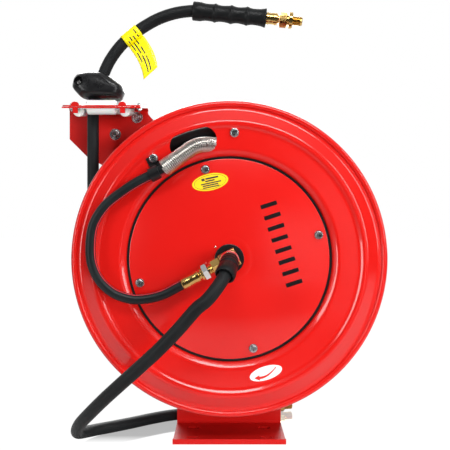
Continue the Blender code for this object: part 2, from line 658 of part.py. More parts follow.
def pawl(materials):
    """The lever that can drop into the ratchet ring, its bolt and its spring."""
    pivot_r = 0.0032
    tip = Vector(polar(PAWL_TIP_R, PAWL_TIP_ANGLE)) - Vector((PAWL_PIVOT.x, PAWL_PIVOT.z))
    reach = tip.length
    along = tip.normalized()
    inward = Vector((along.y, -along.x))
    lever = [(0.0085 * cos(a), 0.0085 * sin(a)) for a in [pi / 2 + pi * k / 8 for k in range(9)]]
    lever += [(0.012, -0.0065), (reach, -0.0045), (reach + 0.001, 0.0), (reach - 0.001, 0.0065),
              (reach - 0.0055, 0.0065), (reach - 0.0065, 0.0), (0.012, 0.0040)]
    points = [tuple(along * a + inward * b) for a, b in lever]
    place = Matrix.Translation((PAWL_PIVOT.x, PAWL_PIVOT.y, PAWL_PIVOT.z)) @ facing_front()
    half = 0.0022
    spot = axle_place(PAWL_PIVOT.x, PAWL_PIVOT.z)
    body = prism("pawl", points, -half, half, materials["steel"], place)
    cut(body, pin_cutter("pawl_bore", spot, pivot_r + 0.0001, 0.0, 0.06, 16))
    back = STAND_FRONT + STAND_THICK
    pin_r = pivot_r - GAP
    near = PAWL_PIVOT.y - half - GAP
    bolt = [(0, near - 0.0026), (0.0060, near - 0.0026), (0.0060, near), (pin_r, near), (pin_r, back + GAP),
            (0.0052, back + GAP), (0.0052, back + 0.0048), (0, back + 0.0048)]
    turned("pawl_bolt", bolt, materials["zinc"], spot, HEX, (5, 6))
    coil = ring_profile(pivot_r + GAP, 0.0052, PAWL_PIVOT.y + half + 0.0008, STAND_FRONT - 0.0012)
    turned("pawl_spring", coil, materials["zinc"], spot, 16)


# ---- swivel and jumper hose -----------------------------------------------------------------------
def outlet_place(distance=0.0):
    way = Vector((cos(radians(OUTLET_ANGLE)), 0.0, sin(radians(OUTLET_ANGLE))))
    return place_along(Vector((0, OUTLET_Y, AXLE_HEIGHT)) + way * distance, way, (0, 1, 0))


def swivel(materials):
    square = Matrix.Rotation(radians(OUTLET_ANGLE), 2)
    corners = [square @ Vector(c) for c in box_outline(-BLOCK_HALF, -BLOCK_HALF, BLOCK_HALF, BLOCK_HALF)]
    outline = [(c.x, AXLE_HEIGHT + c.y) for c in corners]
    block = sheet_xz("swivel_body", outline, BLOCK_FRONT, BLOCK_BACK, materials["brass"])
    cut(block, pin_cutter("swivel_bore", axle_place(), STEM_R + GAP, -0.09, -0.03, 20))
    cut(block, pin_cutter("swivel_outlet", outlet_place(), 0.0045, 0.0, 0.02, 12))
    edges = block.modifiers.new("edges", "BEVEL")
    edges.width = 0.0006
    edges.segments = 1
    edges.limit_method = "ANGLE"
    edges.angle_limit = radians(60)
    head = 0.0138
    stem = [(0, SHAFT_FRONT - GAP), (0.0090, SHAFT_FRONT - GAP), (0.0090, BLOCK_BACK + GAP + 0.0002),
            (STEM_R, BLOCK_BACK + GAP + 0.0002), (STEM_R, BLOCK_FRONT - GAP), (head, BLOCK_FRONT - GAP),
            (head, BLOCK_FRONT - 0.0065), (0, BLOCK_FRONT - 0.0065)]
    turned("swivel_stem", stem, materials["zinc"], axle_place(), 24)
    adapter = [(0.0040, 0.0129), (0.0098, 0.0129), (0.0098, 0.0270), (0.0072, 0.0275), (0.0072, 0.0327),
               (0.0040, 0.0327)]
    turned("outlet_adapter", adapter, materials["brass"], outlet_place(), 24, (1, 2))
    nut = [(0.0040, 0.0331), (0.0108, 0.0331), (0.0108, 0.0418), (0.0040, 0.0418)]
    turned("swivel_nut", nut, materials["zinc"], outlet_place(), 24, (1, 2))
    tail = [(0.0030, 0.0422), (0.0085, 0.0422), (0.0085, 0.0450), (0.0055, 0.0455), (0.0055, 0.0485),
            (0.0082, 0.0488), (0.0082, 0.0752), (0.0030, 0.0752)]
    turned("jumper_ferrule", tail, materials["brass"], outlet_place(), 24)


def jumper(materials):
    way = Vector((cos(radians(OUTLET_ANGLE)), 0.0, sin(radians(OUTLET_ANGLE))))
    start = Vector((0, OUTLET_Y, AXLE_HEIGHT)) + way * 0.0758
    route = [start, start + way * 0.008, *JUMPER_ROUTE]
    hose("jumper_hose", route, JUMPER_R, materials["rubber"], 0.024, 2)
    hose("spring_guard", GUARD_ROUTE, 0.0100, materials["zinc"], 0.010, 3,
         lambda part: 1.30 - 0.30 * min(part / 0.35, 1.0))


def hose_clamp(materials):
    """A P-shaped rubber-lined strap round the jumper hose, bolted to the flange."""
    spot = Vector((-0.1055, -0.0640, 0.3927))
    way = Vector((0.90, 0.0, 0.44)).normalized()
    place = place_along(spot, way, (0, 1, 0))
    clamp = turned("hose_clamp", ring_profile(JUMPER_R + 0.0009, JUMPER_R + 0.0030, -0.007, 0.007),
                   materials["black_plastic"], place, 24)
    side = Vector((-way.z, 0.0, way.x))
    tab = [(-0.003, -0.0555), (0.010, -0.0555), (0.015, -0.0510), (0.0262, -0.0510), (0.0262, FLAT_Y - GAP),
           (0.0140, FLAT_Y - GAP), (0.0085, -0.0538), (-0.003, -0.0538)]
    frame = Matrix((side, (0, 1, 0), -way)).transposed().to_4x4()
    frame = Matrix.Translation((spot.x, 0, spot.z)) @ frame
    strap = prism("clamp_tab", tab, -0.0125, 0.0030, None, frame)
    combine(clamp, strap, "UNION")
    cut(clamp, pin_cutter("clamp_hole", axle_place(*polar(*CLAMP_BOLT)), M6_HOLE_R, -0.056, -0.03, HEX))


def flange_bolts(material):
    shank, end = 0.0030, -0.0395
    for name, spot, seat in (("clamp_bolt", CLAMP_BOLT, -0.0510), ("flange_bolt", FLANGE_BOLT, FLAT_Y)):
        bolt = [(0, seat - 0.0062), (0.0050, seat - 0.0062), (0.0050, seat - 0.0016),
                (0.0062, seat - 0.0016), (0.0062, seat - GAP), (shank, seat - GAP), (shank, end), (0, end)]
        turned(name, bolt, material, axle_place(*polar(*spot)), HEX, (1, 2))


def labels(materials):
    oval = round_outline(-0.0277, 0.3826, 0.0265, 0.0122, radians(12))
    sheet_xz("caution_label", oval, COVER_Y - GAP - 0.0004, COVER_Y - GAP, materials["yellow"])
    arrow = round_outline(0.0523, 0.1082, 0.0240, 0.0098, radians(17.5))
    sheet_xz("rotation_label", arrow, FLAT_Y - GAP - 0.0004, FLAT_Y - GAP, materials["white"])


# ---- hoses and what is on them ----------------------------------------------------------------------
def wound_hose(material):
    inner, outer = CORE_R + 0.0012, 0.207 - HOSE_R - 0.0006
    profile = [(inner, -0.0290), (outer, -0.0290), (outer, 0.0300), (0.1605, 0.0300), (inner, 0.0215)]
    turned("hose_coil", profile, material, axle_place(), DRUM_STEPS)


def lead_in_points():
    """The lead-in hose's centre line every 2 mm, from the swivel's stem."""
    return [tuple(point) for point in smooth_route(LEAD_IN_ROUTE, 0.002)]


def strain_relief(material):
    """A boot over the first bend of the lead-in hose."""
    hose("strain_relief", lead_in_points()[:BOOT_STEPS + 1:3], 0.0132, material, 0.010, 3)


def free_hoses(materials):
    hose("lead_in_hose", lead_in_points()[BOOT_STEPS + 2::6], HOSE_R, materials["rubber"], 0.036, 2)
    end = Vector(LEAD_IN_ROUTE[-1]) + Vector((0.0003, 0.0, 0.0))
    way = (end - Vector(LEAD_IN_ROUTE[-2])).normalized()
    fitting = [(0, GAP), (0.0092, GAP), (0.0092, 0.022), (0.0068, 0.0225), (0.0068, 0.026), (0.0090, 0.0265),
               (0.0090, 0.037), (0.0066, 0.0375), (0.0066, 0.052), (0, 0.052)]
    turned("lead_in_fitting", fitting, materials["brass"], place_along(end, way), 24, (5, 6))
    hose("main_hose_run", RUN_ROUTE, HOSE_R, materials["rubber"], 0.036, 2)
    hose("main_hose_tail", TAIL_ROUTE, HOSE_R, materials["rubber"], 0.022, 2)


def hose_stop(materials):
    """Two moulded halves clamped on the hose, which stop it at the rollers."""
    tilt = radians(-7)
    profile = [(0, -0.0390), (0.0100, -0.0385), (0.0165, -0.0330), (0.0192, -0.0200), (0.0196, 0.0000),
               (0.0192, 0.0190), (0.0150, 0.0330), (0.0095, 0.0385), (0, 0.0390)]
    place = Matrix.Translation(STOP_CENTRE) @ Matrix.Rotation(pi / 2 - tilt, 4, "Y")
    widen = Matrix.Scale(1.22, 4, (0, 1, 0))
    bore_place = place_along(Vector((-0.2010, 0, 0.5240)), Vector((0.0160, 0, 0.0450)))
    halves = (("stop_front", -1), ("stop_rear", 1))
    for name, side in halves:
        bm = bmesh.new()
        add_turned(bm, profile, 20)
        bmesh.ops.transform(bm, matrix=widen, verts=bm.verts)
        half = new_object(name, bm, materials["black_plastic"], place)
        near, far = sorted((side * 0.0002, side * 0.06))
        keep = box_outline(-0.30, near, -0.10, far)
        combine(half, prism(name + "_side", keep, 0.45, 0.60), "INTERSECT")
        cut(half, pin_cutter(name + "_bore", bore_place, HOSE_R + 0.0016, -0.05, 0.05, 20))
        for index, offset in enumerate((-0.027, 0.027)):
            spot = place @ Vector((0, 0, offset))
            line = axle_place(spot.x, spot.z)
            cut(half, pin_cutter(f"{name}_screw_{index}", line, 0.0024, -0.05, 0.05, 12))
            if side < 0:
                cut(half, pin_cutter(f"{name}_well_{index}", line, 0.0046, -0.05, -0.010, 12))


def hose_tag(material):
    """A plain tag folded round the free end of the hose."""
    a, b = Vector((-0.1609, 0.0, 0.5973)), Vector((-0.1358, 0.0, 0.6177))
    way = (b - a).normalized()
    spot = (a + b) / 2
    tag = turned("hose_tag", ring_profile(HOSE_R + 0.0012, HOSE_R + 0.0020, -0.0140, 0.0140), material,
                 place_along(spot, way, (0, 1, 0)), 20)
    down = Vector((way.z, 0.0, -way.x))
    frame = Matrix((way, down, (0, 1, 0))).transposed().to_4x4()
    sheet = prism("tag_sheet", box_outline(-0.0140, HOSE_R + 0.0016, 0.0140, 0.0640), -0.0004, 0.0004, None,
                  Matrix.Translation(spot) @ frame)
    combine(tag, sheet, "UNION")


def hose_grip(material, place):
    core, ridge, end = 0.0118, 0.0140, 0.0128
    socket, depth = HOSE_R + 0.0014, 0.0125
    profile = [(0, depth), (socket, depth), (socket, 0.0), (end, 0.0), (ridge, 0.004), (core, 0.018)]
    for middle in (0.032, 0.055, 0.078):
        profile += [(core, middle - 0.007), (ridge, middle - 0.003), (ridge, middle + 0.003),
                    (core, middle + 0.007)]
    profile += [(core, 0.094), (ridge, GRIP_LENGTH - 0.004), (end, GRIP_LENGTH), (0, GRIP_LENGTH)]
    turned("hose_grip", profile, material, place, 20)


def hose_end(materials):
    start = GRIP_START + GRIP_AXIS * 0.0008
    hose_grip(materials["rubber"], place_along(start, GRIP_AXIS))
    end = start + GRIP_AXIS * (GRIP_LENGTH + GAP)
    ferrule = [(0, 0.0), (0.0088, 0.0), (0.0088, 0.0170), (0.0060, 0.0175), (0.0060, 0.0195),
               (0, 0.0195)]
    turned("end_ferrule", ferrule, materials["brass"], place_along(end, GRIP_AXIS), 24)
    fitting = [(0, 0.0), (0.0106, 0.0), (0.0106, 0.0118), (0.0070, 0.0123), (0.0070, 0.0140),
               (0.0120, 0.0143), (0.0120, 0.0200), (0.0068, 0.0206), (0.0068, 0.0340), (0.0060, 0.0350),
               (0, 0.0350)]
    place = place_along(end + GRIP_AXIS * (0.0195 + GAP), GRIP_AXIS)
    turned("end_fitting", fitting, materials["brass"], place, 24, (1, 2))


def build():
    clear_scene()
    materials = {name: finish(name, *values) for name, values in finishes().items()}
    stand(materials["red"])
    guide_arm(materials["red"])
    roller_plate(materials["red"])
    rollers(materials)
    guide_fasteners(materials)
    flanges(materials)
    covers(materials)
    bushes(materials)
    shaft(materials)
    power_spring(materials["steel"])
    ratchet_ring(materials["steel"])
    pawl(materials)
    swivel(materials)
    jumper(materials)
    hose_clamp(materials)
    flange_bolts(materials["zinc"])
    labels(materials)
    wound_hose(materials["rubber"])
    strain_relief(materials["rubber"])
    free_hoses(materials)
    hose_stop(materials)
    hose_tag(materials["yellow"])
    hose_end(materials)


build()
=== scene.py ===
"""The finished look of a spring-rewind air hose reel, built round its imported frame.

Places are in metres: +X right, -Y towards the camera, +Z up, with the floor at zero.
"""

import json
from math import asin, cos, pi, radians, sin, tau

import bmesh
import bpy
from mathutils import Matrix, Vector


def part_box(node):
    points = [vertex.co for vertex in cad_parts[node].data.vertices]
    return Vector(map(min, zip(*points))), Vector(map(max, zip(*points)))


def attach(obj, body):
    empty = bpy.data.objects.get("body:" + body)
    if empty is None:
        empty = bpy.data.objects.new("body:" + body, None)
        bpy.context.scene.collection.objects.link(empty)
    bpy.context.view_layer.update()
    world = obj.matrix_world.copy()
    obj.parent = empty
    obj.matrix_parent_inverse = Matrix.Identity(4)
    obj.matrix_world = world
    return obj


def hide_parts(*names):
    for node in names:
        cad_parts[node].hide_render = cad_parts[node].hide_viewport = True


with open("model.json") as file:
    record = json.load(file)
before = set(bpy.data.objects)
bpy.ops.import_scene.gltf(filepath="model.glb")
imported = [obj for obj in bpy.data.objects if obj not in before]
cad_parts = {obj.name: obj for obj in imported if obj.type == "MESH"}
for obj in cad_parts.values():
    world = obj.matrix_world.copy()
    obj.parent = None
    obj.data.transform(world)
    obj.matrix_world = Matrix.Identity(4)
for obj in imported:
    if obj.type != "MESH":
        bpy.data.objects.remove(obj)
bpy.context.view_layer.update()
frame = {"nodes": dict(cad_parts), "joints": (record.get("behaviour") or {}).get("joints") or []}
JOINTS = {joint["name"]: joint for joint in frame["joints"]}
NODES = frame["nodes"]

# ---- sizes taken over from the frame's design ----------------------------------------------------
AXLE_HEIGHT = JOINTS["drum_spin"]["pos_m"][2]
MID_Y = -0.008             # the drum's middle plane
SHEET = 0.0016             # pressed steel of the drum
RIM_R = 0.2240
RIM_WIRE_R = 0.0045
LIP_R = 0.1485
COVER_R = 0.1450
COVER_Y = -0.0415          # front face of the front cover
REAR_COVER_Y = 2 * MID_Y - COVER_Y
FLAT_Y = -0.0490           # front face of the flange's flat ring
STUD_RING_R = 0.134
STUD_ANGLES = (15, 105, 195, 285)
SLOT_R = 0.1758
SLOT_ANGLES = (101.5, 113.0)
SLOT_HALF = 0.0170
BLOCK_HALF = 0.0125
BLOCK_FRONT = -0.0705
BLOCK_BACK = -0.0455
OUTLET_ANGLE = 208.0
OUTLET_Y = -0.0585
HOSE_R = 0.00875
JUMPER_R = 0.0070
STAND_FRONT = 0.0450
STAND_BACK = 0.0490
GUIDE_FRONT = 0.0417
GUIDE_TILT = radians(12.0)
GUIDE_EDGE = Vector((0.0, -0.0370, 0.4929))
PLATE = 0.0020
ROLLERS = {
    "roller_front": ((-0.18875, 0.0153, -0.0013), "X", 0.0107, 0.0421, 0.0480),
    "roller_rear": ((-0.18875, 0.0611, -0.0013), "X", 0.0107, 0.0421, 0.0480),
    "roller_left": ((-0.2250, 0.0382, -0.0061), "Y", 0.0088, 0.0380, 0.0372),
    "roller_right": ((-0.1559, 0.0382, -0.0061), "Y", 0.0088, 0.0380, 0.0372),
}
GUIDE_BOLTS = ((-0.1811, 0.4650), (-0.1464, 0.4918))
PLATE_BOLTS = ((-0.2392, 0.0382), (-0.1365, 0.0382))
CLAMP_BOLT = (0.1805, 126.9)   # radius and angle on the flange
FLANGE_BOLT = (0.1815, 87.7)
HUB_RIVET = (0.0266, 139.4)
STOP_WELL = (-0.2244, 0.5343)
CAUTION_LABEL = (-0.0277, 0.3826)
ROTATION_LABEL = (0.0523, 0.1082)
SLATS_MIDDLE = (0.0755, 0.2929)
LABEL_THICK = 0.0003
PRINT_LIFT = 0.00012
GRIP_START = Vector((-0.0558, 0.0, 0.6461))
GRIP_AXIS = Vector((1.0, 0.0, -0.098)).normalized()
GRIP_LENGTH = 0.1115

# ---- hose routes, given as points ----------------------------------------------------------------
LEAD_IN_ROUTE = (
    (0.0000, -0.0776, 0.2714), (0.0000, -0.0920, 0.2710), (-0.0017, -0.1092, 0.2659),
    (-0.0069, -0.1268, 0.2546), (-0.0168, -0.1392, 0.2399), (-0.0300, -0.1448, 0.2246),
    (-0.0428, -0.1465, 0.2143), (-0.0662, -0.1455, 0.1876), (-0.0902, -0.1420, 0.1625),
    (-0.1151, -0.1370, 0.1390), (-0.1417, -0.1295, 0.1143), (-0.1646, -0.1190, 0.0922),
    (-0.1857, -0.1030, 0.0699), (-0.2040, -0.0830, 0.0490), (-0.2150, -0.0610, 0.0315),
    (-0.2190, -0.0375, 0.0185), (-0.2125, -0.0150, 0.0118), (-0.1975, 0.0010, 0.0096),
    (-0.1784, 0.0129, 0.0093), (-0.1518, 0.0295, 0.0093), (-0.1246, 0.0477, 0.0093),
    (-0.0953, 0.0637, 0.0093), (-0.0550, 0.0775, 0.0093), (-0.0180, 0.0880, 0.0093),
    (0.0200, 0.0975, 0.0093), (0.0580, 0.1060, 0.0093),
)
TAIL_ROUTE = (
    (-0.2009, 0.0, 0.5243), (-0.1915, 0.0, 0.5490), (-0.1795, 0.0, 0.5735),
    (-0.1609, 0.0, 0.5973), (-0.1358, 0.0, 0.6177), (-0.1085, 0.0, 0.6335),
    (-0.0820, 0.0, 0.6425), (-0.0561, 0.0, 0.6460), (-0.0455, 0.0, 0.6451),
)
RUN_ROUTE = (
    (-0.2070, 0.0, 0.3300), (-0.2070, 0.0, 0.3900), (-0.2070, 0.0, 0.4500),
    (-0.2068, 0.0, 0.4900), (-0.2052, 0.0, 0.5090), (-0.2020, 0.0, 0.5212),
)
JUMPER_ROUTE = (
    (-0.0946, -0.0612, 0.2218), (-0.1176, -0.0630, 0.2164), (-0.1390, -0.0640, 0.2164),
    (-0.1633, -0.0640, 0.2249), (-0.1831, -0.0640, 0.2432), (-0.1938, -0.0640, 0.2675),
    (-0.1954, -0.0640, 0.2951), (-0.1907, -0.0640, 0.3225), (-0.1740, -0.0640, 0.3484),
    (-0.1481, -0.0640, 0.3690), (-0.1267, -0.0640, 0.3825), (-0.1049, -0.0640, 0.3930),
)
GUARD_ROUTE = (
    (-0.0925, -0.0640, 0.3998), (-0.0790, -0.0650, 0.4095), (-0.0620, -0.0635, 0.4220),
    (-0.0480, -0.0590, 0.4315), (-0.0340, -0.0490, 0.4355), (-0.0230, -0.0375, 0.4368),
    (-0.0150, -0.0300, 0.4370),
)


# ---- places --------------------------------------------------------------------------------------
def axle_place(x=0.0, z=AXLE_HEIGHT):
    """Local Z along world +Y, so that a turned piece's heights are world Y."""
    return Matrix.Translation((x, 0.0, z)) @ Matrix.Rotation(-pi / 2, 4, "X")


def guide_place(x=0.0, v=0.0, w=0.0):
    """The tilted frame of the roller guide."""
    tilted = Matrix.Translation(GUIDE_EDGE) @ Matrix.Rotation(GUIDE_TILT, 4, "X")
    return tilted @ Matrix.Translation((x, v, w))


def place_along(origin, direction, up=(0.0, 0.0, 1.0)):
    """A frame at origin whose local Z runs along direction."""
    z_axis = Vector(direction).normalized()
    x_axis = Vector(up).cross(z_axis).normalized()
    turn = Matrix((x_axis, z_axis.cross(x_axis), z_axis)).transposed().to_4x4()
    return Matrix.Translation(Vector(origin)) @ turn


def facing_front(y):
    """Local (a, b, c) stands for world (X, Z, y - c): outlines are drawn as seen from the front."""
    return Matrix(((1, 0, 0, 0), (0, 0, -1, y), (0, 1, 0, 0), (0, 0, 0, 1)))


def polar(radius, angle):
    return radius * cos(radians(angle)), AXLE_HEIGHT + radius * sin(radians(angle))


OUTLET_WAY = Vector((cos(radians(OUTLET_ANGLE)), 0.0, sin(radians(OUTLET_ANGLE))))


def outlet_place():
    start = place_along((0.0, OUTLET_Y, AXLE_HEIGHT), OUTLET_WAY, (0, 1, 0))
    return start @ Matrix.Rotation(radians(9), 4, "Z")


# ---- shape tools ---------------------------------------------------------------------------------
def add_piece(name, mesh, material, body, place=None, sharp=38, replaced=()):
    """Make an object of a mesh, shade it and hang it on its body."""
    mesh.name = name
    thing = bpy.data.objects.new(name, mesh)
    bpy.context.scene.collection.objects.link(thing)
    if place is not None:
        thing.matrix_world = place
    if not mesh.materials:
        mesh.materials.append(material)
    mesh.shade_smooth()
    mesh.set_sharp_from_angle(angle=radians(sharp))
    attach(thing, body)
    if replaced:
        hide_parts(*([replaced] if isinstance(replaced, str) else replaced))
    return thing


def solid_mesh(bm):
    bmesh.ops.recalc_face_normals(bm, faces=bm.faces)
    mesh = bpy.data.meshes.new("shape")
    bm.to_mesh(mesh)
    bm.free()
    return mesh


def hexagon_radius(half_flats, angle):
    return half_flats / cos((angle + pi / 6) % (pi / 3) - pi / 6)


def turned_mesh(profile, steps=64):
    """Turn (radius, height) points about local Z; a third value is a hexagon that cuts the ring back."""
    bm = bmesh.new()
    rings = []
    for point in profile:
        radius, height = point[:2]
        if radius == 0:
            rings.append([bm.verts.new((0.0, 0.0, height))])
            continue
        ring = []
        for step in range(steps):
            angle = tau * step / steps
            reach = min(radius, hexagon_radius(point[2], angle)) if len(point) > 2 else radius
            ring.append(bm.verts.new((reach * cos(angle), reach * sin(angle), height)))
        rings.append(ring)
    pairs = list(zip(rings, rings[1:]))
    if profile[0][0] and profile[-1][0]:
        pairs.append((rings[-1], rings[0]))
    for lower, upper in pairs:
        for step in range(steps):
            after = (step + 1) % steps
            loop = [lower[step % len(lower)], lower[after % len(lower)],
                    upper[after % len(upper)], upper[step % len(upper)]]
            corners = list(dict.fromkeys(loop))
            if len(corners) > 2:
                bm.faces.new(corners)
    return solid_mesh(bm)


def soften(line, reach, segments=3, closed=False):
    """Round the corners of a line of points, starting the curve at most reach from each."""
    points = [Vector(p[:2]) for p in line]
    result = []
    for index, corner in enumerate(points):
        if not closed and index in (0, len(points) - 1):
            result.append(tuple(corner))
            continue
        back = points[index - 1] - corner
        ahead = points[(index + 1) % len(points)] - corner
        size = min(reach, 0.45 * back.length, 0.45 * ahead.length)
        start = corner + back.normalized() * size
        end = corner + ahead.normalized() * size
        for step in range(segments + 1):
            t = step / segments
            result.append(tuple(start.lerp(corner, t).lerp(corner.lerp(end, t), t)))
    return result


def prism_mesh(outline, low, high):
    bm = bmesh.new()
    bottom = [bm.verts.new((a, b, low)) for a, b in outline]
    top = [bm.verts.new((a, b, high)) for a, b in outline]
    bm.faces.new(bottom)
    bm.faces.new(top)
    for index in range(len(outline)):
        after = (index + 1) % len(outline)
        bm.faces.new((bottom[index], bottom[after], top[after], top[index]))
    return solid_mesh(bm)


def settle(thing):
    """Turn what the modifiers show into the piece's own mesh."""
    mesh = bpy.data.meshes.new_from_object(thing.evaluated_get(bpy.context.evaluated_depsgraph_get()))
    thing.modifiers.clear()
    thing.data = mesh
    return mesh


def carve(mesh, place, cutters):
    """A mesh less each (mesh, place) cutter."""
    thing = bpy.data.objects.new("carved", mesh)
    bpy.context.scene.collection.objects.link(thing)
    thing.matrix_world = place
    helpers = []
    for cutter_mesh, cutter_place in cutters:
        cutter = bpy.data.objects.new("cutter", cutter_mesh)
        bpy.context.scene.collection.objects.link(cutter)
        cutter.matrix_world = cutter_place
        helpers.append(cutter)
        step = thing.modifiers.new("carve", "BOOLEAN")
        step.operation = "DIFFERENCE"
        step.solver = "EXACT"
        step.object = cutter
    bpy.context.view_layer.update()
    result = settle(thing)
    for helper in [*helpers, thing]:
        bpy.data.objects.remove(helper, do_unlink=True)
    return result


def break_edges(thing, width, segments, angle):
    """Round off a piece's edges that are sharper than the angle."""
    edges = thing.modifiers.new("edges", "BEVEL")
    edges.width = width
    edges.segments = segments
    edges.limit_method = "ANGLE"
    edges.angle_limit = radians(angle)


def smooth_route(route, spacing=0.002):
    """Points every spacing along a smooth curve through the route's own points."""
    points = [Vector(p) for p in route]
    points = [2 * points[0] - points[1]] + points + [2 * points[-1] - points[-2]]
    fine = []
    for p0, p1, p2, p3 in zip(points, points[1:], points[2:], points[3:]):
        for step in range(24):
            t = step / 24
            fine.append(0.5 * (2 * p1 + (p2 - p0) * t + (2 * p0 - 5 * p1 + 4 * p2 - p3) * t ** 2
                               + (3 * p1 - p0 - 3 * p2 + p3) * t ** 3))
    fine.append(points[-2])
    result = [fine[0]]
    gone = 0.0
    for before, after in zip(fine, fine[1:]):
        length = (after - before).length
        while gone + length >= spacing:
            before = before.lerp(after, (spacing - gone) / length)
            length = (after - before).length
            result.append(before)
            gone = 0.0
        gone += length
    result.append(fine[-1])
    if (result[-1] - result[-2]).length < spacing / 4:
        del result[-2]
    return result


def carried_frames(points):
    """For each point its way ahead and a side direction that turns as little as it can."""
    frames = []
    side = Vector((0.0, -1.0, 0.0))
    for index in range(len(points)):
        ahead = points[min(index + 1, len(points) - 1)] - points[max(index - 1, 0)]
        ahead.normalize()
        side = (side - ahead * side.dot(ahead)).normalized()
        frames.append((ahead, side.copy()))
    return frames


def ring_round(bm, centre, ahead, side, radius, sides):
    """A ring of points round a line's centre, in the plane across its way ahead."""
    other = ahead.cross(side)
    return [bm.verts.new(centre + (side * cos(tau * k / sides) + other * sin(tau * k / sides)) * radius)
            for k in range(sides)]


def tube_mesh(points, radius, sides=20):
    """A tube with closed ends. Its UV map holds metres along and the share of a turn round it."""
    bm = bmesh.new()
    uv = bm.loops.layers.uv.new("lay")
    rings = []
    along = [0.0]
    for before, after in zip(points, points[1:]):
        along.append(along[-1] + (after - before).length)
    for point, (ahead, side) in zip(points, carried_frames(points)):
        rings.append(ring_round(bm, point, ahead, side, radius, sides))
    for index in range(len(rings) - 1):
        for k in range(sides):
            after = (k + 1) % sides
            face = bm.faces.new((rings[index][k], rings[index][after],
                                 rings[index + 1][after], rings[index + 1][k]))
            marks = ((along[index], k), (along[index], k + 1),
                     (along[index + 1], k + 1), (along[index + 1], k))
            for loop, (distance, turn) in zip(face.loops, marks):
                loop[uv].uv = (distance, turn / sides)
    for ring, end in ((rings[0], points[0]), (rings[-1], points[-1])):
        middle = bm.verts.new(end)
        for k in range(sides):
            bm.faces.new((ring[k], ring[(k + 1) % sides], middle))
    return solid_mesh(bm)


def sleeve_mesh(points, stations, sides=40):
    """A sleeve along a line, a ring for each (distance, radius) station; a mouth's stations step back."""
    frames = carried_frames(points)
    along = [0.0]
    for before, after in zip(points, points[1:]):
        along.append(along[-1] + (after - before).length)
    bm = bmesh.new()
    rings = []
    for distance, radius in stations:
        index = min(range(len(points)), key=lambda k: abs(along[k] - distance))
        ahead, side = frames[index]
        centre = points[index] + ahead * (distance - along[index])
        rings.append(ring_round(bm, centre, ahead, side, radius, sides))
    for before, after in zip(rings, rings[1:]):
        for k in range(sides):
            bm.faces.new((before[k], before[(k + 1) % sides], after[(k + 1) % sides], after[k]))
    bm.faces.new(rings[0])
    bm.faces.new(rings[-1])
    return solid_mesh(bm)


# ---- shading tools -------------------------------------------------------------------------------
def feed(tree, made, links):
    """Give each input of a node its value, or the socket that feeds it."""
    for socket, source in links.items():
        if isinstance(source, bpy.types.NodeSocket):
            tree.links.new(source, made.inputs[socket])
        else:
            made.inputs[socket].default_value = source


def node(tree, kind, links=None, **settings):
    """Add a shader node; links gives each input a value or the socket that feeds it."""
    made = tree.nodes.new("ShaderNode" + kind)
    for key, value in settings.items():
        setattr(made, key, value)
    feed(tree, made, links or {})
    return made


def new_group(name, inputs, outputs):
    tree = bpy.data.node_groups.new(name, "ShaderNodeTree")
    for label, kind in inputs:
        tree.interface.new_socket(name=label, in_out="INPUT", socket_type="NodeSocket" + kind)
    for label, kind in outputs:
        tree.interface.new_socket(name=label, in_out="OUTPUT", socket_type="NodeSocket" + kind)
    return tree, tree.nodes.new("NodeGroupInput").outputs, tree.nodes.new("NodeGroupOutput").inputs


def worked_out(tree, operation, *values):
    """The result of a maths node."""
    return node(tree, "Math", dict(enumerate(values)), operation=operation).outputs[0]


def sine_of(tree, turns):
    return worked_out(tree, "SINE", worked_out(tree, "MULTIPLY", turns, tau))


def surface_grain_group():
    """Broad patches and a fine grain, both from 0 to 1."""
    tree, given, out = new_group(
        "surface_grain", [("Place", "Vector"), ("Patch Scale", "Float"), ("Grain Scale", "Float")],
        [("Patches", "Float"), ("Grain", "Float")])
    patches = node(tree, "TexNoise", {"Vector": given["Place"], "Scale": given["Patch Scale"],
                                      "Detail": 4.0, "Roughness": 0.55})
    grain = node(tree, "TexNoise", {"Vector": given["Place"], "Scale": given["Grain Scale"],
                                    "Detail": 2.0})
    tree.links.new(patches.outputs["Fac"], out["Patches"])
    tree.links.new(grain.outputs["Fac"], out["Grain"])
    return tree


def cloth_wrap_group():
    """The crossed ribs that a cloth wrapping leaves in a cured hose."""
    tree, given, out = new_group(
        "cloth_wrap", [("Lay", "Vector"), ("Pitch", "Float"), ("Starts", "Float")], [("Height", "Float")])
    parts = node(tree, "SeparateXYZ", {0: given["Lay"]})
    along = worked_out(tree, "DIVIDE", parts.outputs["X"], given["Pitch"])
    around = worked_out(tree, "MULTIPLY", parts.outputs["Y"], given["Starts"])
    left = sine_of(tree, worked_out(tree, "ADD", along, around))
    right = sine_of(tree, worked_out(tree, "SUBTRACT", along, around))
    crossed = worked_out(tree, "MULTIPLY", left, right)
    tree.links.new(worked_out(tree, "MULTIPLY_ADD", crossed, 0.5, 0.5), out["Height"])
    return tree


def turning_group():
    """The fine rings that a lathe tool leaves, along local Z."""
    tree, given, out = new_group(
        "turning_marks", [("Place", "Vector"), ("Pitch", "Float")], [("Height", "Float")])
    height = node(tree, "SeparateXYZ", {0: given["Place"]}).outputs["Z"]
    wave = sine_of(tree, worked_out(tree, "DIVIDE", height, given["Pitch"]))
    tree.links.new(worked_out(tree, "MULTIPLY_ADD", wave, 0.5, 0.5), out["Height"])
    return tree


GRAIN = surface_grain_group()
WRAP = cloth_wrap_group()
TURNING = turning_group()


def placed_group(tree, group, links):
    made = tree.nodes.new("ShaderNodeGroup")
    made.node_tree = group
    feed(tree, made, links)
    return made.outputs


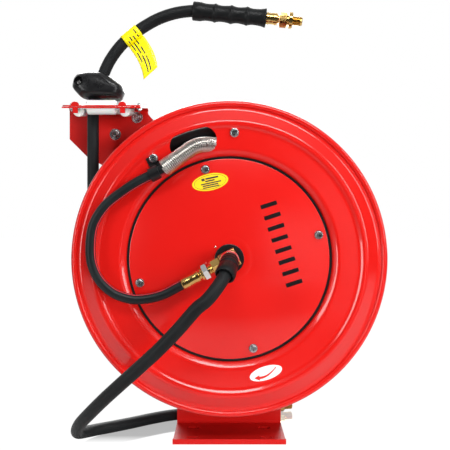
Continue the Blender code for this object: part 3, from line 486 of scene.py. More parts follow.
def mixed_colour(tree, factor, first, second):
    made = node(tree, "Mix", {0: factor}, data_type="RGBA")
    for index, colour in ((6, first), (7, second)):
        is_socket = isinstance(colour, bpy.types.NodeSocket)
        feed(tree, made, {index: colour if is_socket else (*colour, 1.0)})
    return made.outputs[2]


def finish(name, colours, roughness, patch=14.0, grain=900.0, bump=0.00003, metallic=0.0, coat=0.0,
           coat_rough=0.05, subsurface=0.0, specular=0.5, marks=0.0, wrap=None, stripe=None):
    """A material whose colour and gloss drift in patches, with a fine relief of its own."""
    material = bpy.data.materials.new(name)
    material.use_nodes = True
    tree = material.node_tree
    shader = tree.nodes["Principled BSDF"]
    place = node(tree, "TexCoord").outputs["Object"]
    texture = placed_group(tree, GRAIN, {"Place": place, "Patch Scale": patch, "Grain Scale": grain})
    lay = node(tree, "UVMap", uv_map="lay").outputs["UV"] if wrap or stripe else None
    colour = mixed_colour(tree, texture["Patches"], *colours)
    relief = texture["Grain"]
    depth = bump
    if marks:
        relief = placed_group(tree, TURNING, {"Place": place, "Pitch": marks})["Height"]
    if wrap:
        pitch, starts, depth = wrap
        ribs = placed_group(tree, WRAP, {"Lay": lay, "Pitch": pitch, "Starts": starts})["Height"]
        relief = worked_out(tree, "MULTIPLY_ADD", texture["Grain"], 0.5, ribs)
        rubbed = worked_out(tree, "MULTIPLY", ribs, texture["Patches"])
        colour = mixed_colour(tree, rubbed, colour, [value * 2.2 + 0.004 for value in colours[1]])
    if stripe:
        middle, half, stripe_colour = stripe
        turn = node(tree, "SeparateXYZ", {0: lay}).outputs["Y"]
        colour = mixed_colour(tree, worked_out(tree, "COMPARE", turn, middle, half), colour, stripe_colour)
    tree.links.new(colour, shader.inputs["Base Color"])
    gloss = node(tree, "MapRange", {"Value": texture["Patches"], "From Min": 0.3, "From Max": 0.7,
                                    "To Min": roughness[0], "To Max": roughness[1]})
    tree.links.new(gloss.outputs["Result"], shader.inputs["Roughness"])
    raised = node(tree, "Bump", {"Height": relief, "Distance": depth, "Strength": 1.0})
    tree.links.new(raised.outputs["Normal"], shader.inputs["Normal"])
    shader.inputs["Metallic"].default_value = metallic
    shader.inputs["Coat Weight"].default_value = coat
    shader.inputs["Coat Roughness"].default_value = coat_rough
    shader.inputs["Subsurface Weight"].default_value = subsurface
    shader.inputs["Subsurface Scale"].default_value = 0.002
    shader.inputs["Specular IOR Level"].default_value = specular
    return material


RED = finish("red_gloss_paint", ((0.58, 0.0075, 0.0055), (0.63, 0.0095, 0.0070)), (0.22, 0.27),
             coat=0.65, coat_rough=0.045, bump=0.000012, grain=700.0, specular=0.35)
SHEET_RED = finish("red_satin_paint", ((0.50, 0.0065, 0.0050), (0.56, 0.0085, 0.0065)), (0.34, 0.42),
                   coat=0.12, coat_rough=0.10, bump=0.000012, grain=700.0, specular=0.30)
ZINC = finish("bright_zinc", ((0.62, 0.65, 0.68), (0.82, 0.83, 0.84)), (0.16, 0.34), metallic=1.0,
              patch=90.0)
CHROME = finish("bright_nickel", ((0.83, 0.84, 0.85), (0.92, 0.92, 0.92)), (0.08, 0.16), metallic=1.0,
                patch=60.0)
STEEL = finish("oiled_steel", ((0.22, 0.22, 0.23), (0.36, 0.35, 0.34)), (0.30, 0.48), metallic=1.0,
               patch=45.0)
WIRE = finish("bright_spring_wire", ((0.60, 0.58, 0.53), (0.80, 0.78, 0.74)), (0.18, 0.30), metallic=1.0,
              patch=40.0)
BRASS = finish("turned_brass", ((0.70, 0.42, 0.12), (0.86, 0.60, 0.22)), (0.14, 0.26), metallic=1.0,
               patch=50.0, marks=0.0006, bump=0.000008)
BLOCK_BRASS = finish("sawn_brass", ((0.42, 0.22, 0.07), (0.72, 0.42, 0.16)), (0.24, 0.40), metallic=1.0,
                     patch=70.0)
BRONZE = finish("oiled_bronze", ((0.34, 0.19, 0.08), (0.48, 0.29, 0.13)), (0.35, 0.5), metallic=1.0,
                patch=80.0)
HOSE = finish("wrapped_rubber", ((0.0030, 0.0036, 0.0040), (0.0060, 0.0066, 0.0072)), (0.44, 0.58),
              patch=26.0, grain=1500.0, specular=0.22, wrap=(0.0032, 14.0, 0.00011))
JUMPER = finish("smooth_rubber", ((0.0028, 0.0045, 0.0052), (0.0050, 0.0070, 0.0078)), (0.34, 0.46),
                patch=30.0, grain=1300.0, specular=0.30, wrap=(0.0026, 12.0, 0.00004),
                stripe=(0.175, 0.02, (0.62, 0.05, 0.07)))
RUBBER = finish("moulded_rubber", ((0.0030, 0.0036, 0.0040), (0.0065, 0.0068, 0.0072)), (0.36, 0.52),
                patch=40.0, specular=0.25, grain=1800.0, bump=0.00006)
PLASTIC = finish("black_moulding", ((0.0040, 0.0040, 0.0046), (0.0075, 0.0075, 0.0085)), (0.26, 0.36),
                 patch=35.0, grain=1500.0, bump=0.00005)
NYLON = finish("white_nylon", ((0.80, 0.80, 0.77), (0.90, 0.90, 0.88)), (0.26, 0.40), patch=30.0,
               subsurface=0.15, marks=0.0011, bump=0.00001)
YELLOW = finish("yellow_film", ((0.90, 0.74, 0.0), (0.96, 0.84, 0.0)), (0.30, 0.42), patch=25.0, coat=0.3)
OVAL_YELLOW = finish("yellow_sticker", ((0.82, 0.55, 0.01), (0.92, 0.68, 0.02)), (0.25, 0.36), patch=35.0,
                     coat=0.4)
WHITE = finish("white_sticker", ((0.80, 0.80, 0.79), (0.90, 0.90, 0.89)), (0.25, 0.36), patch=35.0,
               coat=0.4)
PRINT = finish("dark_print", ((0.012, 0.012, 0.030), (0.022, 0.020, 0.045)), (0.35, 0.45), patch=60.0)
RED_PRINT = finish("red_print", ((0.60, 0.02, 0.015), (0.68, 0.03, 0.02)), (0.35, 0.45), patch=60.0)


# ---- fasteners -----------------------------------------------------------------------------------
def hex_head(seat, out, half_flats, height, washer_r, washer, shank):
    """A chamfered hexagon on a washer, from its top's centre down to the shank; it faces along out."""
    top = seat + out * (washer + height)
    base = seat + out * washer
    rings = [(0, top)]
    for reach, drop in ((0.90, 0.0), (0.97, 0.02), (1.03, 0.055), (1.09, 0.09), (1.16, 0.135)):
        rings.append((half_flats * reach, top - out * half_flats * drop, half_flats))
    rings.append((half_flats * 1.16, base, half_flats))
    edge = washer * 0.3
    rings += [(washer_r - edge, base), (washer_r, base - out * edge), (washer_r, seat + out * edge),
              (washer_r - edge, seat), (shank, seat)]
    return rings


def cross_recess(place, seat, out, arm, depth):
    """A cross-shaped cutter for a driver, sunk in a head whose top is at seat."""
    thin = arm * 0.32
    corner = ((arm, thin), (thin, thin), (thin, arm))
    outline = []
    for quarter in range(4):
        turn = Matrix.Rotation(pi / 2 * quarter, 2)
        outline += [tuple(turn @ Vector(c)) for c in corner]
    low, high = sorted((seat + out * 0.001, seat - out * depth))
    return prism_mesh(outline, low, high), place


def screws_on_covers():
    half, height, washer = 0.0048, 0.0042, 0.0010
    seat = COVER_Y - 0.0003
    profile = hex_head(seat, -1, half, height, 0.0064, washer, 0.0030)
    profile += hex_head(REAR_COVER_Y + 0.0003, 1, 0.0055, 0.0036, 0.0070, 0.0010, 0.0030)[::-1]
    top = seat - washer - height
    recess = cross_recess(axle_place(), top, -1, 0.0026, 0.0018)
    mesh = carve(turned_mesh(profile, 48), axle_place(), [recess])
    for index, angle in enumerate(STUD_ANGLES):
        place = axle_place(*polar(STUD_RING_R, angle)) @ Matrix.Rotation(radians(17 + 23 * index), 4, "Z")
        add_piece(f"cover_screw_{index + 1}", mesh.copy(), ZINC, "drum", place, 30,
                  f"cover_bolt_{index + 1}")


def screws_on_flange():
    for name, spot, seat, turn in (("clamp", CLAMP_BOLT, -0.0510, 12), ("flange", FLANGE_BOLT, FLAT_Y, 40)):
        seat -= 0.0003
        profile = hex_head(seat, -1, 0.0050, 0.0044, 0.0064, 0.0014, 0.0030)
        profile += [(0.0030, -0.0395), (0, -0.0395)]
        recess = cross_recess(axle_place(), seat - 0.0058, -1, 0.0028, 0.0018)
        mesh = carve(turned_mesh(profile, 48), axle_place(), [recess])
        place = axle_place(*polar(*spot)) @ Matrix.Rotation(radians(turn), 4, "Z")
        add_piece(name + "_screw", mesh, ZINC, "drum", place, 30, name + "_bolt")


def threaded(radius, start, end, pitch=0.0011, depth=0.00035):
    """The sawtooth outline of a thread as turned rings."""
    way = 1 if end > start else -1
    turns = int(abs(end - start) / pitch)
    points = []
    for index in range(turns):
        points += [(radius - depth, start + way * pitch * index),
                   (radius, start + way * pitch * (index + 0.5))]
    points.append((radius - depth, end))
    return points


def screws_on_arm():
    for index, (x, z) in enumerate(GUIDE_BOLTS):
        front = GUIDE_FRONT - 0.0003
        end = front - 0.0068
        nut = hex_head(front, -1, 0.0062, 0.0040, 0.0090, 0.0014, 0.0040)
        profile = [(0, end), (0.0030, end)] + threaded(0.0037, end + 0.0004, front - 0.0054, 0.0008)
        profile += nut[1:]
        profile += hex_head(STAND_BACK + 0.0003, 1, 0.0062, 0.0044, 0.0085, 0.0012, 0.0040)[::-1]
        place = axle_place(x, z) @ Matrix.Rotation(radians(10 + 35 * index), 4, "Z")
        add_piece(f"guide_screw_{index + 1}", turned_mesh(profile, 48), ZINC, "stand_body", place, 30,
                  f"guide_arm_bolt_{index + 1}")


def screws_on_plate():
    for index, (x, v) in enumerate(PLATE_BOLTS):
        top, low = PLATE + 0.0003, -(PLATE + 0.0006)
        dome = [(0, top + 0.0030), (0.0018, top + 0.0028), (0.0030, top + 0.0016), (0.0036, top),
                (0.0019, top)]
        nut = hex_head(low, -1, 0.0034, 0.0026, 0.0042, 0.0004, 0.0019)[1:]
        profile = dome + nut[::-1] + threaded(0.0019, low - 0.0030, low - 0.0045, 0.0006, 0.0002)
        profile.append((0, low - 0.0045))
        recess = cross_recess(guide_place(x, v), top + 0.0030, 1, 0.0015, 0.0012)
        mesh = carve(turned_mesh(profile, 48), guide_place(x, v), [recess])
        add_piece(f"plate_screw_{index + 1}", mesh, ZINC, "stand_body", guide_place(x, v), 30,
                  f"plate_bolt_{index + 1}")


# ---- drum ----------------------------------------------------------------------------------------
def flange_profile(mirrored):
    """The pressed flange's outline with rounded bends, closed round its rolled rim."""
    front = [(LIP_R, -0.0410), (0.1500, -0.0440), (0.1575, FLAT_Y), (0.1868, FLAT_Y),
             (0.1926, -0.0530), (0.1982, -0.0530), (0.2143, -0.0436), (0.2182, -0.0430)]
    face = soften(front, 0.0034, 6)
    half_open = asin(SHEET / 2 / RIM_WIRE_R)
    rim = []
    for step in range(25):
        angle = pi + half_open + (tau - 2 * half_open) * step / 24
        rim.append((RIM_R + RIM_WIRE_R * cos(angle), -0.0424 + RIM_WIRE_R * sin(angle)))
    back = [(0.2182, -0.0414), (0.2143, -0.0420), (0.1980, -0.0514), (0.1930, -0.0514),
            (0.1872, FLAT_Y + SHEET), (0.1572, FLAT_Y + SHEET), (0.1508, -0.0430), (LIP_R, -0.0390)]
    profile = face + rim + soften(back, 0.0030, 4)
    return [(radius, 2 * MID_Y - y) for radius, y in profile] if mirrored else profile


def slot_outline():
    start, end = SLOT_ANGLES
    outline = []
    for reach, first, last, turn_from in ((SLOT_HALF, start, end, 0.0), (-SLOT_HALF, end, start, pi)):
        for step in range(13):
            outline.append(polar(SLOT_R + reach, first + (last - first) * step / 12))
        centre = Vector(polar(SLOT_R, last))
        for step in range(1, 16):
            angle = radians(last) + turn_from + pi * step / 16
            outline.append((centre.x + SLOT_HALF * cos(angle), centre.y + SLOT_HALF * sin(angle)))
    return outline


def flanges():
    slot = (prism_mesh(slot_outline(), 0.0, 0.030), facing_front(-0.035))
    mesh = carve(turned_mesh(flange_profile(False), 200), axle_place(), [slot])
    add_piece("flange_front", mesh, RED, "drum", axle_place(), 40, "front_flange")
    add_piece("flange_rear", turned_mesh(flange_profile(True), 200), RED, "drum", axle_place(), 40,
              "rear_flange")


def cover_profile(front, way):
    """A pressed disc with a shallow step near its hub and a rounded outer edge."""
    field = front + way * 0.0003
    outline = [(0.0168, front), (0.0300, front), (0.0340, field), (COVER_R, field),
               (COVER_R, front + way * SHEET), (0.0168, front + way * SHEET)]
    return soften(outline, 0.0006, 2, closed=True)


def covers():
    for name, front, way in (("front", COVER_Y, 1), ("rear", REAR_COVER_Y, -1)):
        add_piece("cover_" + name, turned_mesh(cover_profile(front, way), 180), RED, "drum",
                  axle_place(), 40, name + "_cover")
    # A dark rubber ring fills the gap between the cover's edge and the flange's lip, giving that gap its
    # dark line.
    dark_gap_outline = soften([(COVER_R + 0.0003, -0.0411), (LIP_R - 0.0002, -0.0418), (LIP_R - 0.0002, -0.0390),
                   (COVER_R + 0.0003, -0.0390)], 0.0006, 3, closed=True)
    add_piece("dark_gap_ring", turned_mesh(dark_gap_outline, 180), RUBBER, "drum", axle_place(), 40, "cover_seal")
    rivet = [(0, COVER_Y - 0.0010), (0.0008, COVER_Y - 0.0009), (0.0014, COVER_Y - 0.0005),
             (0.0016, COVER_Y), (0.0016, COVER_Y + 0.0010), (0, COVER_Y + 0.0010)]
    add_piece("hub_rivet", turned_mesh(rivet, 24), CHROME, "drum", axle_place(*polar(*HUB_RIVET)), 40, ())


def eased(share):
    """A share from 0 to 1 that starts and ends gently."""
    return share * share * (3 - 2 * share)


def winding_line():
    """The hose's centre line on the drum: three turns, two in the hollows between them, then three."""
    lane, middle, start = 0.0198, 0.0005, radians(292)
    stations = []
    way = 1
    for radius, count in ((0.1600, 3), (0.17445, 2), (0.1889, 3)):
        offsets = [(index - (count - 1) / 2) * lane * way for index in range(count)]
        stations += [(radius, middle + offset) for offset in offsets]
        way = -way
    points = []
    steps = 90
    for (radius, y), (next_radius, next_y) in zip(stations, stations[1:] + stations[-1:]):
        for step in range(steps):
            share = eased(max(0.0, (step / steps - 0.86) / 0.14))
            reach = radius + (next_radius - radius) * share
            angle = start - tau * step / steps
            points.append(Vector((reach * cos(angle), y + (next_y - y) * share,
                                  AXLE_HEIGHT + reach * sin(angle))))
    points.append(Vector((reach * cos(start), y, AXLE_HEIGHT + reach * sin(start))))
    return points


def wound_hose():
    line = winding_line()
    add_piece("wound_hose", tube_mesh(line, HOSE_R, 14), HOSE, "drum", None, 60, "hose_coil")
    last = line[-1]
    climb = []
    for step in range(46):
        share = eased(min(1.0, step / 18))
        angle = radians(292 - 112 * step / 45)
        reach = 0.1889 + (0.2070 - 0.1889) * share
        climb.append(Vector((reach * cos(angle), last.y * (1 - share),
                             AXLE_HEIGHT + reach * sin(angle))))
    run = climb + smooth_route([climb[-1], *RUN_ROUTE], 0.004)[1:]
    add_piece("hose_to_rollers", tube_mesh(run, HOSE_R, 20), HOSE, "stand_body", None, 60, "main_hose_run")


# ---- swivel, jumper hose and its guard -----------------------------------------------------------
def swivel_block():
    block = prism_mesh([(-BLOCK_HALF, -BLOCK_HALF), (BLOCK_HALF, -BLOCK_HALF), (BLOCK_HALF, BLOCK_HALF),
                        (-BLOCK_HALF, BLOCK_HALF)], BLOCK_FRONT, BLOCK_BACK)
    place = axle_place() @ Matrix.Rotation(-radians(OUTLET_ANGLE), 4, "Z")
    bore = turned_mesh([(0, -0.09), (0.0065, -0.09), (0.0065, -0.03), (0, -0.03)], 40)
    body = add_piece("swivel_block", carve(block, place, [(bore, axle_place())]), BLOCK_BRASS, "drum",
                     place, 30, "swivel_body")
    break_edges(body, 0.0013, 3, 50)


def swivel_spindle():
    front = BLOCK_FRONT - 0.0003
    stem = [(0, -0.0443), (0.0090, -0.0443), (0.0090, BLOCK_BACK + 0.0005), (0.0062, BLOCK_BACK + 0.0005),
            (0.0062, front), (0.0130, front), (0.0135, front - 0.0005), (0.0133, front - 0.0012),
            (0.0112, front - 0.0056), (0.0104, front - 0.0062), (0, front - 0.0062)]
    add_piece("swivel_spindle", turned_mesh(stem, 64), CHROME, "stand_body", axle_place(), 30,
              "swivel_stem")


def swivel_outlet():
    """The hexagon adapter, the union nut and the jumper hose's ferrule, in a row on one line."""
    adapter = [(0.0040, 0.0129), (0.0090, 0.0129, 0.0098), (0.0106, 0.0137, 0.0098),
               (0.0114, 0.0142, 0.0098), (0.0114, 0.0258, 0.0098), (0.0106, 0.0263, 0.0098),
               (0.0090, 0.0271, 0.0098), (0.0072, 0.0275)]
    adapter += threaded(0.0074, 0.0280, 0.0324, 0.0011) + [(0.0040, 0.0327)]
    add_piece("hex_adapter", turned_mesh(adapter, 48), BRASS, "drum", outlet_place(), 30,
              "outlet_adapter")
    nut = [(0.0040, 0.0331), (0.0100, 0.0331, 0.0108), (0.0117, 0.0338, 0.0108), (0.0126, 0.0344, 0.0108),
           (0.0126, 0.0405, 0.0108), (0.0117, 0.0411, 0.0108), (0.0100, 0.0418, 0.0108), (0.0040, 0.0418)]
    add_piece("union_nut", turned_mesh(nut, 48), CHROME, "drum", outlet_place(), 30, "swivel_nut")
    tail = [(0.0030, 0.0422), (0.0094, 0.0422), (0.0100, 0.0428), (0.0100, 0.0446), (0.0094, 0.0453),
            (0.0068, 0.0458), (0.0066, 0.0478), (0.0080, 0.0482), (0.0086, 0.0490), (0.0086, 0.0540),
            (0.0082, 0.0552), (0.0080, 0.0600), (0.0082, 0.0648), (0.0086, 0.0660), (0.0086, 0.0744),
            (0.0080, 0.0752), (0.0030, 0.0752)]
    add_piece("crimped_ferrule", turned_mesh(tail, 48), BRASS, "drum", outlet_place(), 25,
              "jumper_ferrule")


def hub_disc():
    washer = soften([(0.0106, COVER_Y - 0.0028), (0.0214, COVER_Y - 0.0028), (0.0214, COVER_Y - 0.0003),
                     (0.0106, COVER_Y - 0.0003)], 0.0010, 3, closed=True)
    add_piece("hub_disc", turned_mesh(washer, 96), PLASTIC, "drum", axle_place(), 40, "hub_washer")


def jumper():
    start = Vector((0, OUTLET_Y, AXLE_HEIGHT)) + OUTLET_WAY * 0.0758
    line = smooth_route([start, start + OUTLET_WAY * 0.008, *JUMPER_ROUTE, *GUARD_ROUTE], 0.003)
    hose = add_piece("jumper_line", tube_mesh(line, JUMPER_R, 24), JUMPER, "drum", None, 60, "jumper_hose")


def spring_guard():
    """Bright wire wound close round the jumper hose, wider where the hose enters."""
    wire_r, pitch, per_turn = 0.00115, 0.0026, 22
    line = smooth_route(GUARD_ROUTE, pitch / per_turn)
    wire = []
    for index, (ahead, side) in enumerate(carried_frames(line)):
        part = index / (len(line) - 1)
        reach = 0.0113 * (1.16 - 0.16 * min(part / 0.35, 1.0)) - wire_r
        angle = tau * index / per_turn
        wire.append(line[index] + (side * cos(angle) + ahead.cross(side) * sin(angle)) * reach)
    add_piece("wire_guard", tube_mesh(wire, wire_r, 7), WIRE, "drum", None, 60, "spring_guard")


# ---- lead-in hose --------------------------------------------------------------------------------
BOOT_STATIONS = (
    (0.0000, 0.0092), (0.0008, 0.0104), (0.0040, 0.0112), (0.0120, 0.0119), (0.0200, 0.0125),
    (0.0209, 0.0117), (0.0218, 0.0117), (0.0227, 0.0128), (0.0272, 0.0129), (0.0281, 0.0120),
    (0.0290, 0.0120), (0.0299, 0.0130), (0.0344, 0.0131), (0.0353, 0.0121), (0.0362, 0.0121),
    (0.0371, 0.0131), (0.0440, 0.0131), (0.0460, 0.0136), (0.0500, 0.0138), (0.0530, 0.0137),
    (0.0543, 0.0130), (0.0545, 0.0118), (0.0530, 0.0110), (0.0480, 0.0104),
)


def lead_in():
    line = smooth_route(LEAD_IN_ROUTE, 0.003)
    hose = add_piece("lead_in_line", tube_mesh(line, HOSE_R, 28), HOSE, "stand_body", None, 60,
                     "lead_in_hose")
    boot_line = smooth_route(LEAD_IN_ROUTE, 0.001)[:60]
    boot = add_piece("swivel_boot", sleeve_mesh(boot_line, BOOT_STATIONS), RUBBER, "stand_body", None, 50,
                     "strain_relief")
    end = Vector(LEAD_IN_ROUTE[-1]) + Vector((0.0003, 0.0, 0.0))
    way = end - Vector(LEAD_IN_ROUTE[-2])
    profile = [(0, 0.0003), (0.0088, 0.0003), (0.0092, 0.0010), (0.0092, 0.0060), (0.0087, 0.0068),
               (0.0087, 0.0140), (0.0092, 0.0148), (0.0092, 0.0212), (0.0086, 0.0220), (0.0068, 0.0225),
               (0.0068, 0.0260), (0.0082, 0.0263, 0.0090), (0.0104, 0.0272, 0.0090),
               (0.0104, 0.0362, 0.0090), (0.0082, 0.0371, 0.0090), (0.0066, 0.0375)]
    profile += threaded(0.0068, 0.0380, 0.0512, 0.0013, 0.0006) + [(0.0040, 0.0520), (0, 0.0520)]
    fitting = add_piece("lead_in_end", turned_mesh(profile, 48), BRASS, "stand_body",
                        place_along(end, way), 28, "lead_in_fitting")


# ---- free end of the main hose -------------------------------------------------------------------
STOP_OUTLINE = (
    (-0.2368, 0.5290), (-0.2345, 0.5400), (-0.2290, 0.5470), (-0.2145, 0.5500), (-0.1900, 0.5500),
    (-0.1810, 0.5455), (-0.1610, 0.5305), (-0.1595, 0.5230), (-0.1640, 0.5115), (-0.2150, 0.5115),
    (-0.2255, 0.5150), (-0.2335, 0.5235),
)
STOP_MIDDLE = Vector((-0.1976, 0.5300))


def stop_half(side):
    """Half of the faceted stop: its outline drawn in towards the flat face in front."""
    outline = soften(STOP_OUTLINE, 0.0022, 3, closed=True)
    bm = bmesh.new()
    rings = []
    for depth, scale in ((0.0003, 1.0), (0.0090, 0.99), (0.0150, 0.94), (0.0195, 0.84), (0.0222, 0.72),
                         (0.0234, 0.60)):
        ring = []
        for a, b in outline:
            spot = STOP_MIDDLE + (Vector((a, b)) - STOP_MIDDLE) * scale
            ring.append(bm.verts.new((spot.x, side * depth, spot.y)))
        rings.append(ring)
    for lower, upper in zip(rings, rings[1:]):
        for index in range(len(outline)):
            after = (index + 1) % len(outline)
            bm.faces.new((lower[index], lower[after], upper[after], upper[index]))
    bm.faces.new(rings[0])
    bm.faces.new(rings[-1])
    return solid_mesh(bm)


def hose_stop():
    bore = turned_mesh([(0, -0.05), (HOSE_R + 0.0004, -0.05), (HOSE_R + 0.0004, 0.05), (0, 0.05)], 40)
    bore_place = place_along((-0.2010, 0, 0.5240), (0.0160, 0, 0.0450))
    pieces = []
    for name, side in (("stop_shell_front", -1), ("stop_shell_rear", 1)):
        low, high = sorted((side * 0.0120, side * 0.05))
        well = turned_mesh([(0, low), (0.0062, low), (0.0076, high), (0, high)], 32)
        mesh = carve(stop_half(side), Matrix(), [(bore, bore_place), (well, axle_place(*STOP_WELL))])
        node_name = "stop_front" if side < 0 else "stop_rear"
        pieces.append(add_piece(name, mesh, PLASTIC, "stand_body", None, 24, node_name))
    return [*pieces, stop_screw()]


def stop_screw():
    """The screw that holds the two halves, in its well, with a nut at the back."""
    seat = -0.0122
    profile = [(0, seat - 0.0026), (0.0020, seat - 0.0024), (0.0036, seat - 0.0014), (0.0042, seat),
               (0.0020, seat), (0.0020, 0.0122), (0.0044, 0.0122), (0.0044, 0.0150, 0.0038), (0, 0.0150)]
    recess = cross_recess(axle_place(), seat - 0.0026, -1, 0.0020, 0.0014)
    mesh = carve(turned_mesh(profile, 36), axle_place(), [recess])
    return add_piece("stop_screw_1", mesh, STEEL, "stand_body", axle_place(*STOP_WELL), 30, ())


def hose_tag():
    """A film tag folded round the hose, its two leaves stuck together and hanging a little curled."""
    low, high = Vector((-0.1609, 0.0, 0.5973)), Vector((-0.1358, 0.0, 0.6177))
    way = (high - low).normalized()
    spot = (low + high) / 2
    down = Vector((way.z, 0.0, -way.x))
    reach, width, drop = HOSE_R + 0.0014, 0.0140, 0.0540
    centre = []
    for step in range(15):
        angle = pi * (1.0 - step / 14)
        centre.append((Vector((0, -reach * sin(angle), 0)) + down * reach * cos(angle), 0.0))
    for step in range(1, 15):
        share = step / 14
        sag = radians(-12) * share ** 1.4
        bend = down * cos(sag) + way * sin(sag)
        offset = Vector((0, -reach * (1 - share) ** 6 * 0.9 - 0.0035 * share * share, 0))
        centre.append((down * reach * (1 - share) + bend * (drop * share + reach * share) + offset, sag))
    bm = bmesh.new()
    grid = []
    for place, sag in centre:
        across = way * cos(sag / 4) + down * sin(sag / 4)
        grid.append([bm.verts.new(spot + place + across * width * (k / 4 - 1)) for k in range(9)])
    for before, after in zip(grid, grid[1:]):
        for k in range(8):
            bm.faces.new((before[k], before[k + 1], after[k + 1], after[k]))
    mesh = bpy.data.meshes.new("tag")
    bm.to_mesh(mesh)
    bm.free()
    front = add_piece("tag_film", mesh, YELLOW, "stand_body", None, 60, "hose_tag")
    thick = front.modifiers.new("film", "SOLIDIFY")
    thick.thickness = 0.0004
    thick.offset = 0.0
    settle(front)
    return front, centre, spot, way, down


def tag_bars(spot, way, down, centre):
    """Plain dark bars printed along the tag."""
    bm = bmesh.new()
    rows = ((-0.0088, 10, 17), (-0.0088, 18, 22), (-0.0040, 8, 11), (-0.0040, 12, 19),
            (-0.0040, 20, 27), (0.0012, 9, 16), (0.0012, 17, 20), (0.0012, 21, 27),
            (0.0075, 6, 9), (0.0075, 10, 13))
    for across_at, first, last in rows:
        strip = []
        for place, sag in centre[first:last + 1]:
            across = way * cos(sag / 4) + down * sin(sag / 4)
            base = spot + place + Vector((0, -0.0003, 0)) + across * across_at
            lift = Vector((0, -0.00008, 0))
            strip.append([bm.verts.new(base + across * side + lift) for side in (-0.0009, 0.0009)])
        for before, after in zip(strip, strip[1:]):
            bm.faces.new((before[0], before[1], after[1], after[0]))
    mesh = bpy.data.meshes.new("bars")
    bm.to_mesh(mesh)
    bm.free()
    return add_piece("tag_print", mesh, PRINT, "stand_body", None, 60, ())


def grip():
    core, ridge, end = 0.0116, 0.0139, GRIP_LENGTH
    socket = HOSE_R + 0.0006
    profile = [(0, 0.1006), (socket, 0.1006), (socket, 0.0006), (0.0100, 0.0), (0.0131, 0.0),
               (0.0138, 0.0012), (0.0138, 0.0120), (0.0128, 0.0160), (0.0122, 0.0200),
               (core + 0.0008, 0.0275)]
    for middle in (0.0340, 0.0585, 0.0825):
        profile += [(ridge - 0.0012, middle - 0.0030), (ridge - 0.0003, middle - 0.0010), (ridge, middle),
                    (ridge - 0.0004, middle + 0.0009), (core + 0.0009, middle + 0.0034),
                    (core, middle + 0.0085), (core + 0.0002, middle + 0.0140)]
    profile += [(0.0122, end - 0.0085), (0.0134, end - 0.0032), (0.0140, end - 0.0014),
                (0.0138, end - 0.0003), (0.0128, end), (0, end)]
    place = place_along(GRIP_START + GRIP_AXIS * 0.0008, GRIP_AXIS)
    smooth = profile[:6] + soften(profile[5:-3], 0.0030, 3)[1:] + profile[-3:]
    return add_piece("hand_grip", turned_mesh(smooth, 56), RUBBER, "stand_body", place, 50, "hose_grip")


def brass_end():
    start = GRIP_START + GRIP_AXIS * (0.0008 + GRIP_LENGTH + 0.0003)
    ferrule = [(0, 0.0), (0.0084, 0.0), (0.0088, 0.0006), (0.0088, 0.0040), (0.0083, 0.0048),
               (0.0083, 0.0100), (0.0088, 0.0108), (0.0088, 0.0164), (0.0082, 0.0170), (0.0062, 0.0175),
               (0.0062, 0.0195), (0, 0.0195)]
    sleeve = add_piece("crimped_sleeve", turned_mesh(ferrule, 48), BRASS, "stand_body",
                       place_along(start, GRIP_AXIS), 28, "end_ferrule")
    fitting = [(0, 0.0), (0.0098, 0.0, 0.0106), (0.0112, 0.0006, 0.0106), (0.0122, 0.0012, 0.0106),
               (0.0122, 0.0106, 0.0106), (0.0112, 0.0112, 0.0106), (0.0098, 0.0118, 0.0106),
               (0.0072, 0.0122), (0.0072, 0.0140), (0.0116, 0.0143), (0.0120, 0.0148), (0.0120, 0.0194),
               (0.0116, 0.0200), (0.0070, 0.0204)]
    fitting += threaded(0.0069, 0.0210, 0.0336, 0.0013, 0.0006)
    fitting += [(0.0060, 0.0350), (0.0044, 0.0350), (0.0042, 0.0240), (0, 0.0240)]
    place = place_along(start + GRIP_AXIS * 0.0198, GRIP_AXIS)
    swivel_end = add_piece("swivel_end", turned_mesh(fitting, 48), BRASS, "end_fitting", place, 28,
                           "end_fitting")
    return sleeve, swivel_end


def free_end():
    in_grip = [GRIP_START + GRIP_AXIS * 0.0550, GRIP_START + GRIP_AXIS * 0.1000]
    line = smooth_route([*TAIL_ROUTE, *in_grip], 0.003)
    hose = add_piece("free_hose", tube_mesh(line, HOSE_R, 28), HOSE, "stand_body", None, 60,
                     "main_hose_tail")
    tag, centre, spot, way, down = hose_tag()
    bars = tag_bars(spot, way, down, centre)
    others = [*hose_stop(), grip(), *brass_end(), tag, bars]


# ---- rollers, axle and ratchet -------------------------------------------------------------------
def roller_place(name):
    (x, v, w), way = ROLLERS[name][:2]
    turn = Matrix.Rotation(pi / 2, 4, "Y") if way == "X" else Matrix.Rotation(-pi / 2, 4, "X")
    return guide_place(x, v, w) @ turn


def rollers():
    for name, (_, _, radius, length, reach) in ROLLERS.items():
        half = length / 2
        recess = [(0.0025, -half + 0.0010), (radius * 0.62, -half + 0.0010), (radius * 0.70, -half),
                  (radius - 0.0012, -half), (radius, -half + 0.0012), (radius, half - 0.0012),
                  (radius - 0.0012, half), (radius * 0.70, half), (radius * 0.62, half - 0.0010),
                  (0.0025, half - 0.0010)]
        add_piece(name.replace("roller", "nylon_roller"), turned_mesh(recess, 56), NYLON, name,
                  roller_place(name), 40, name)
        pin = soften([(0, -reach), (0.0022, -reach), (0.0022, reach), (0, reach)], 0.0005, 2)
        node_name = name.replace("roller", "pin")
        add_piece(name.replace("roller", "roller_pin"), turned_mesh(pin, 24), ZINC, "stand_body",
                  roller_place(name), 40, node_name)


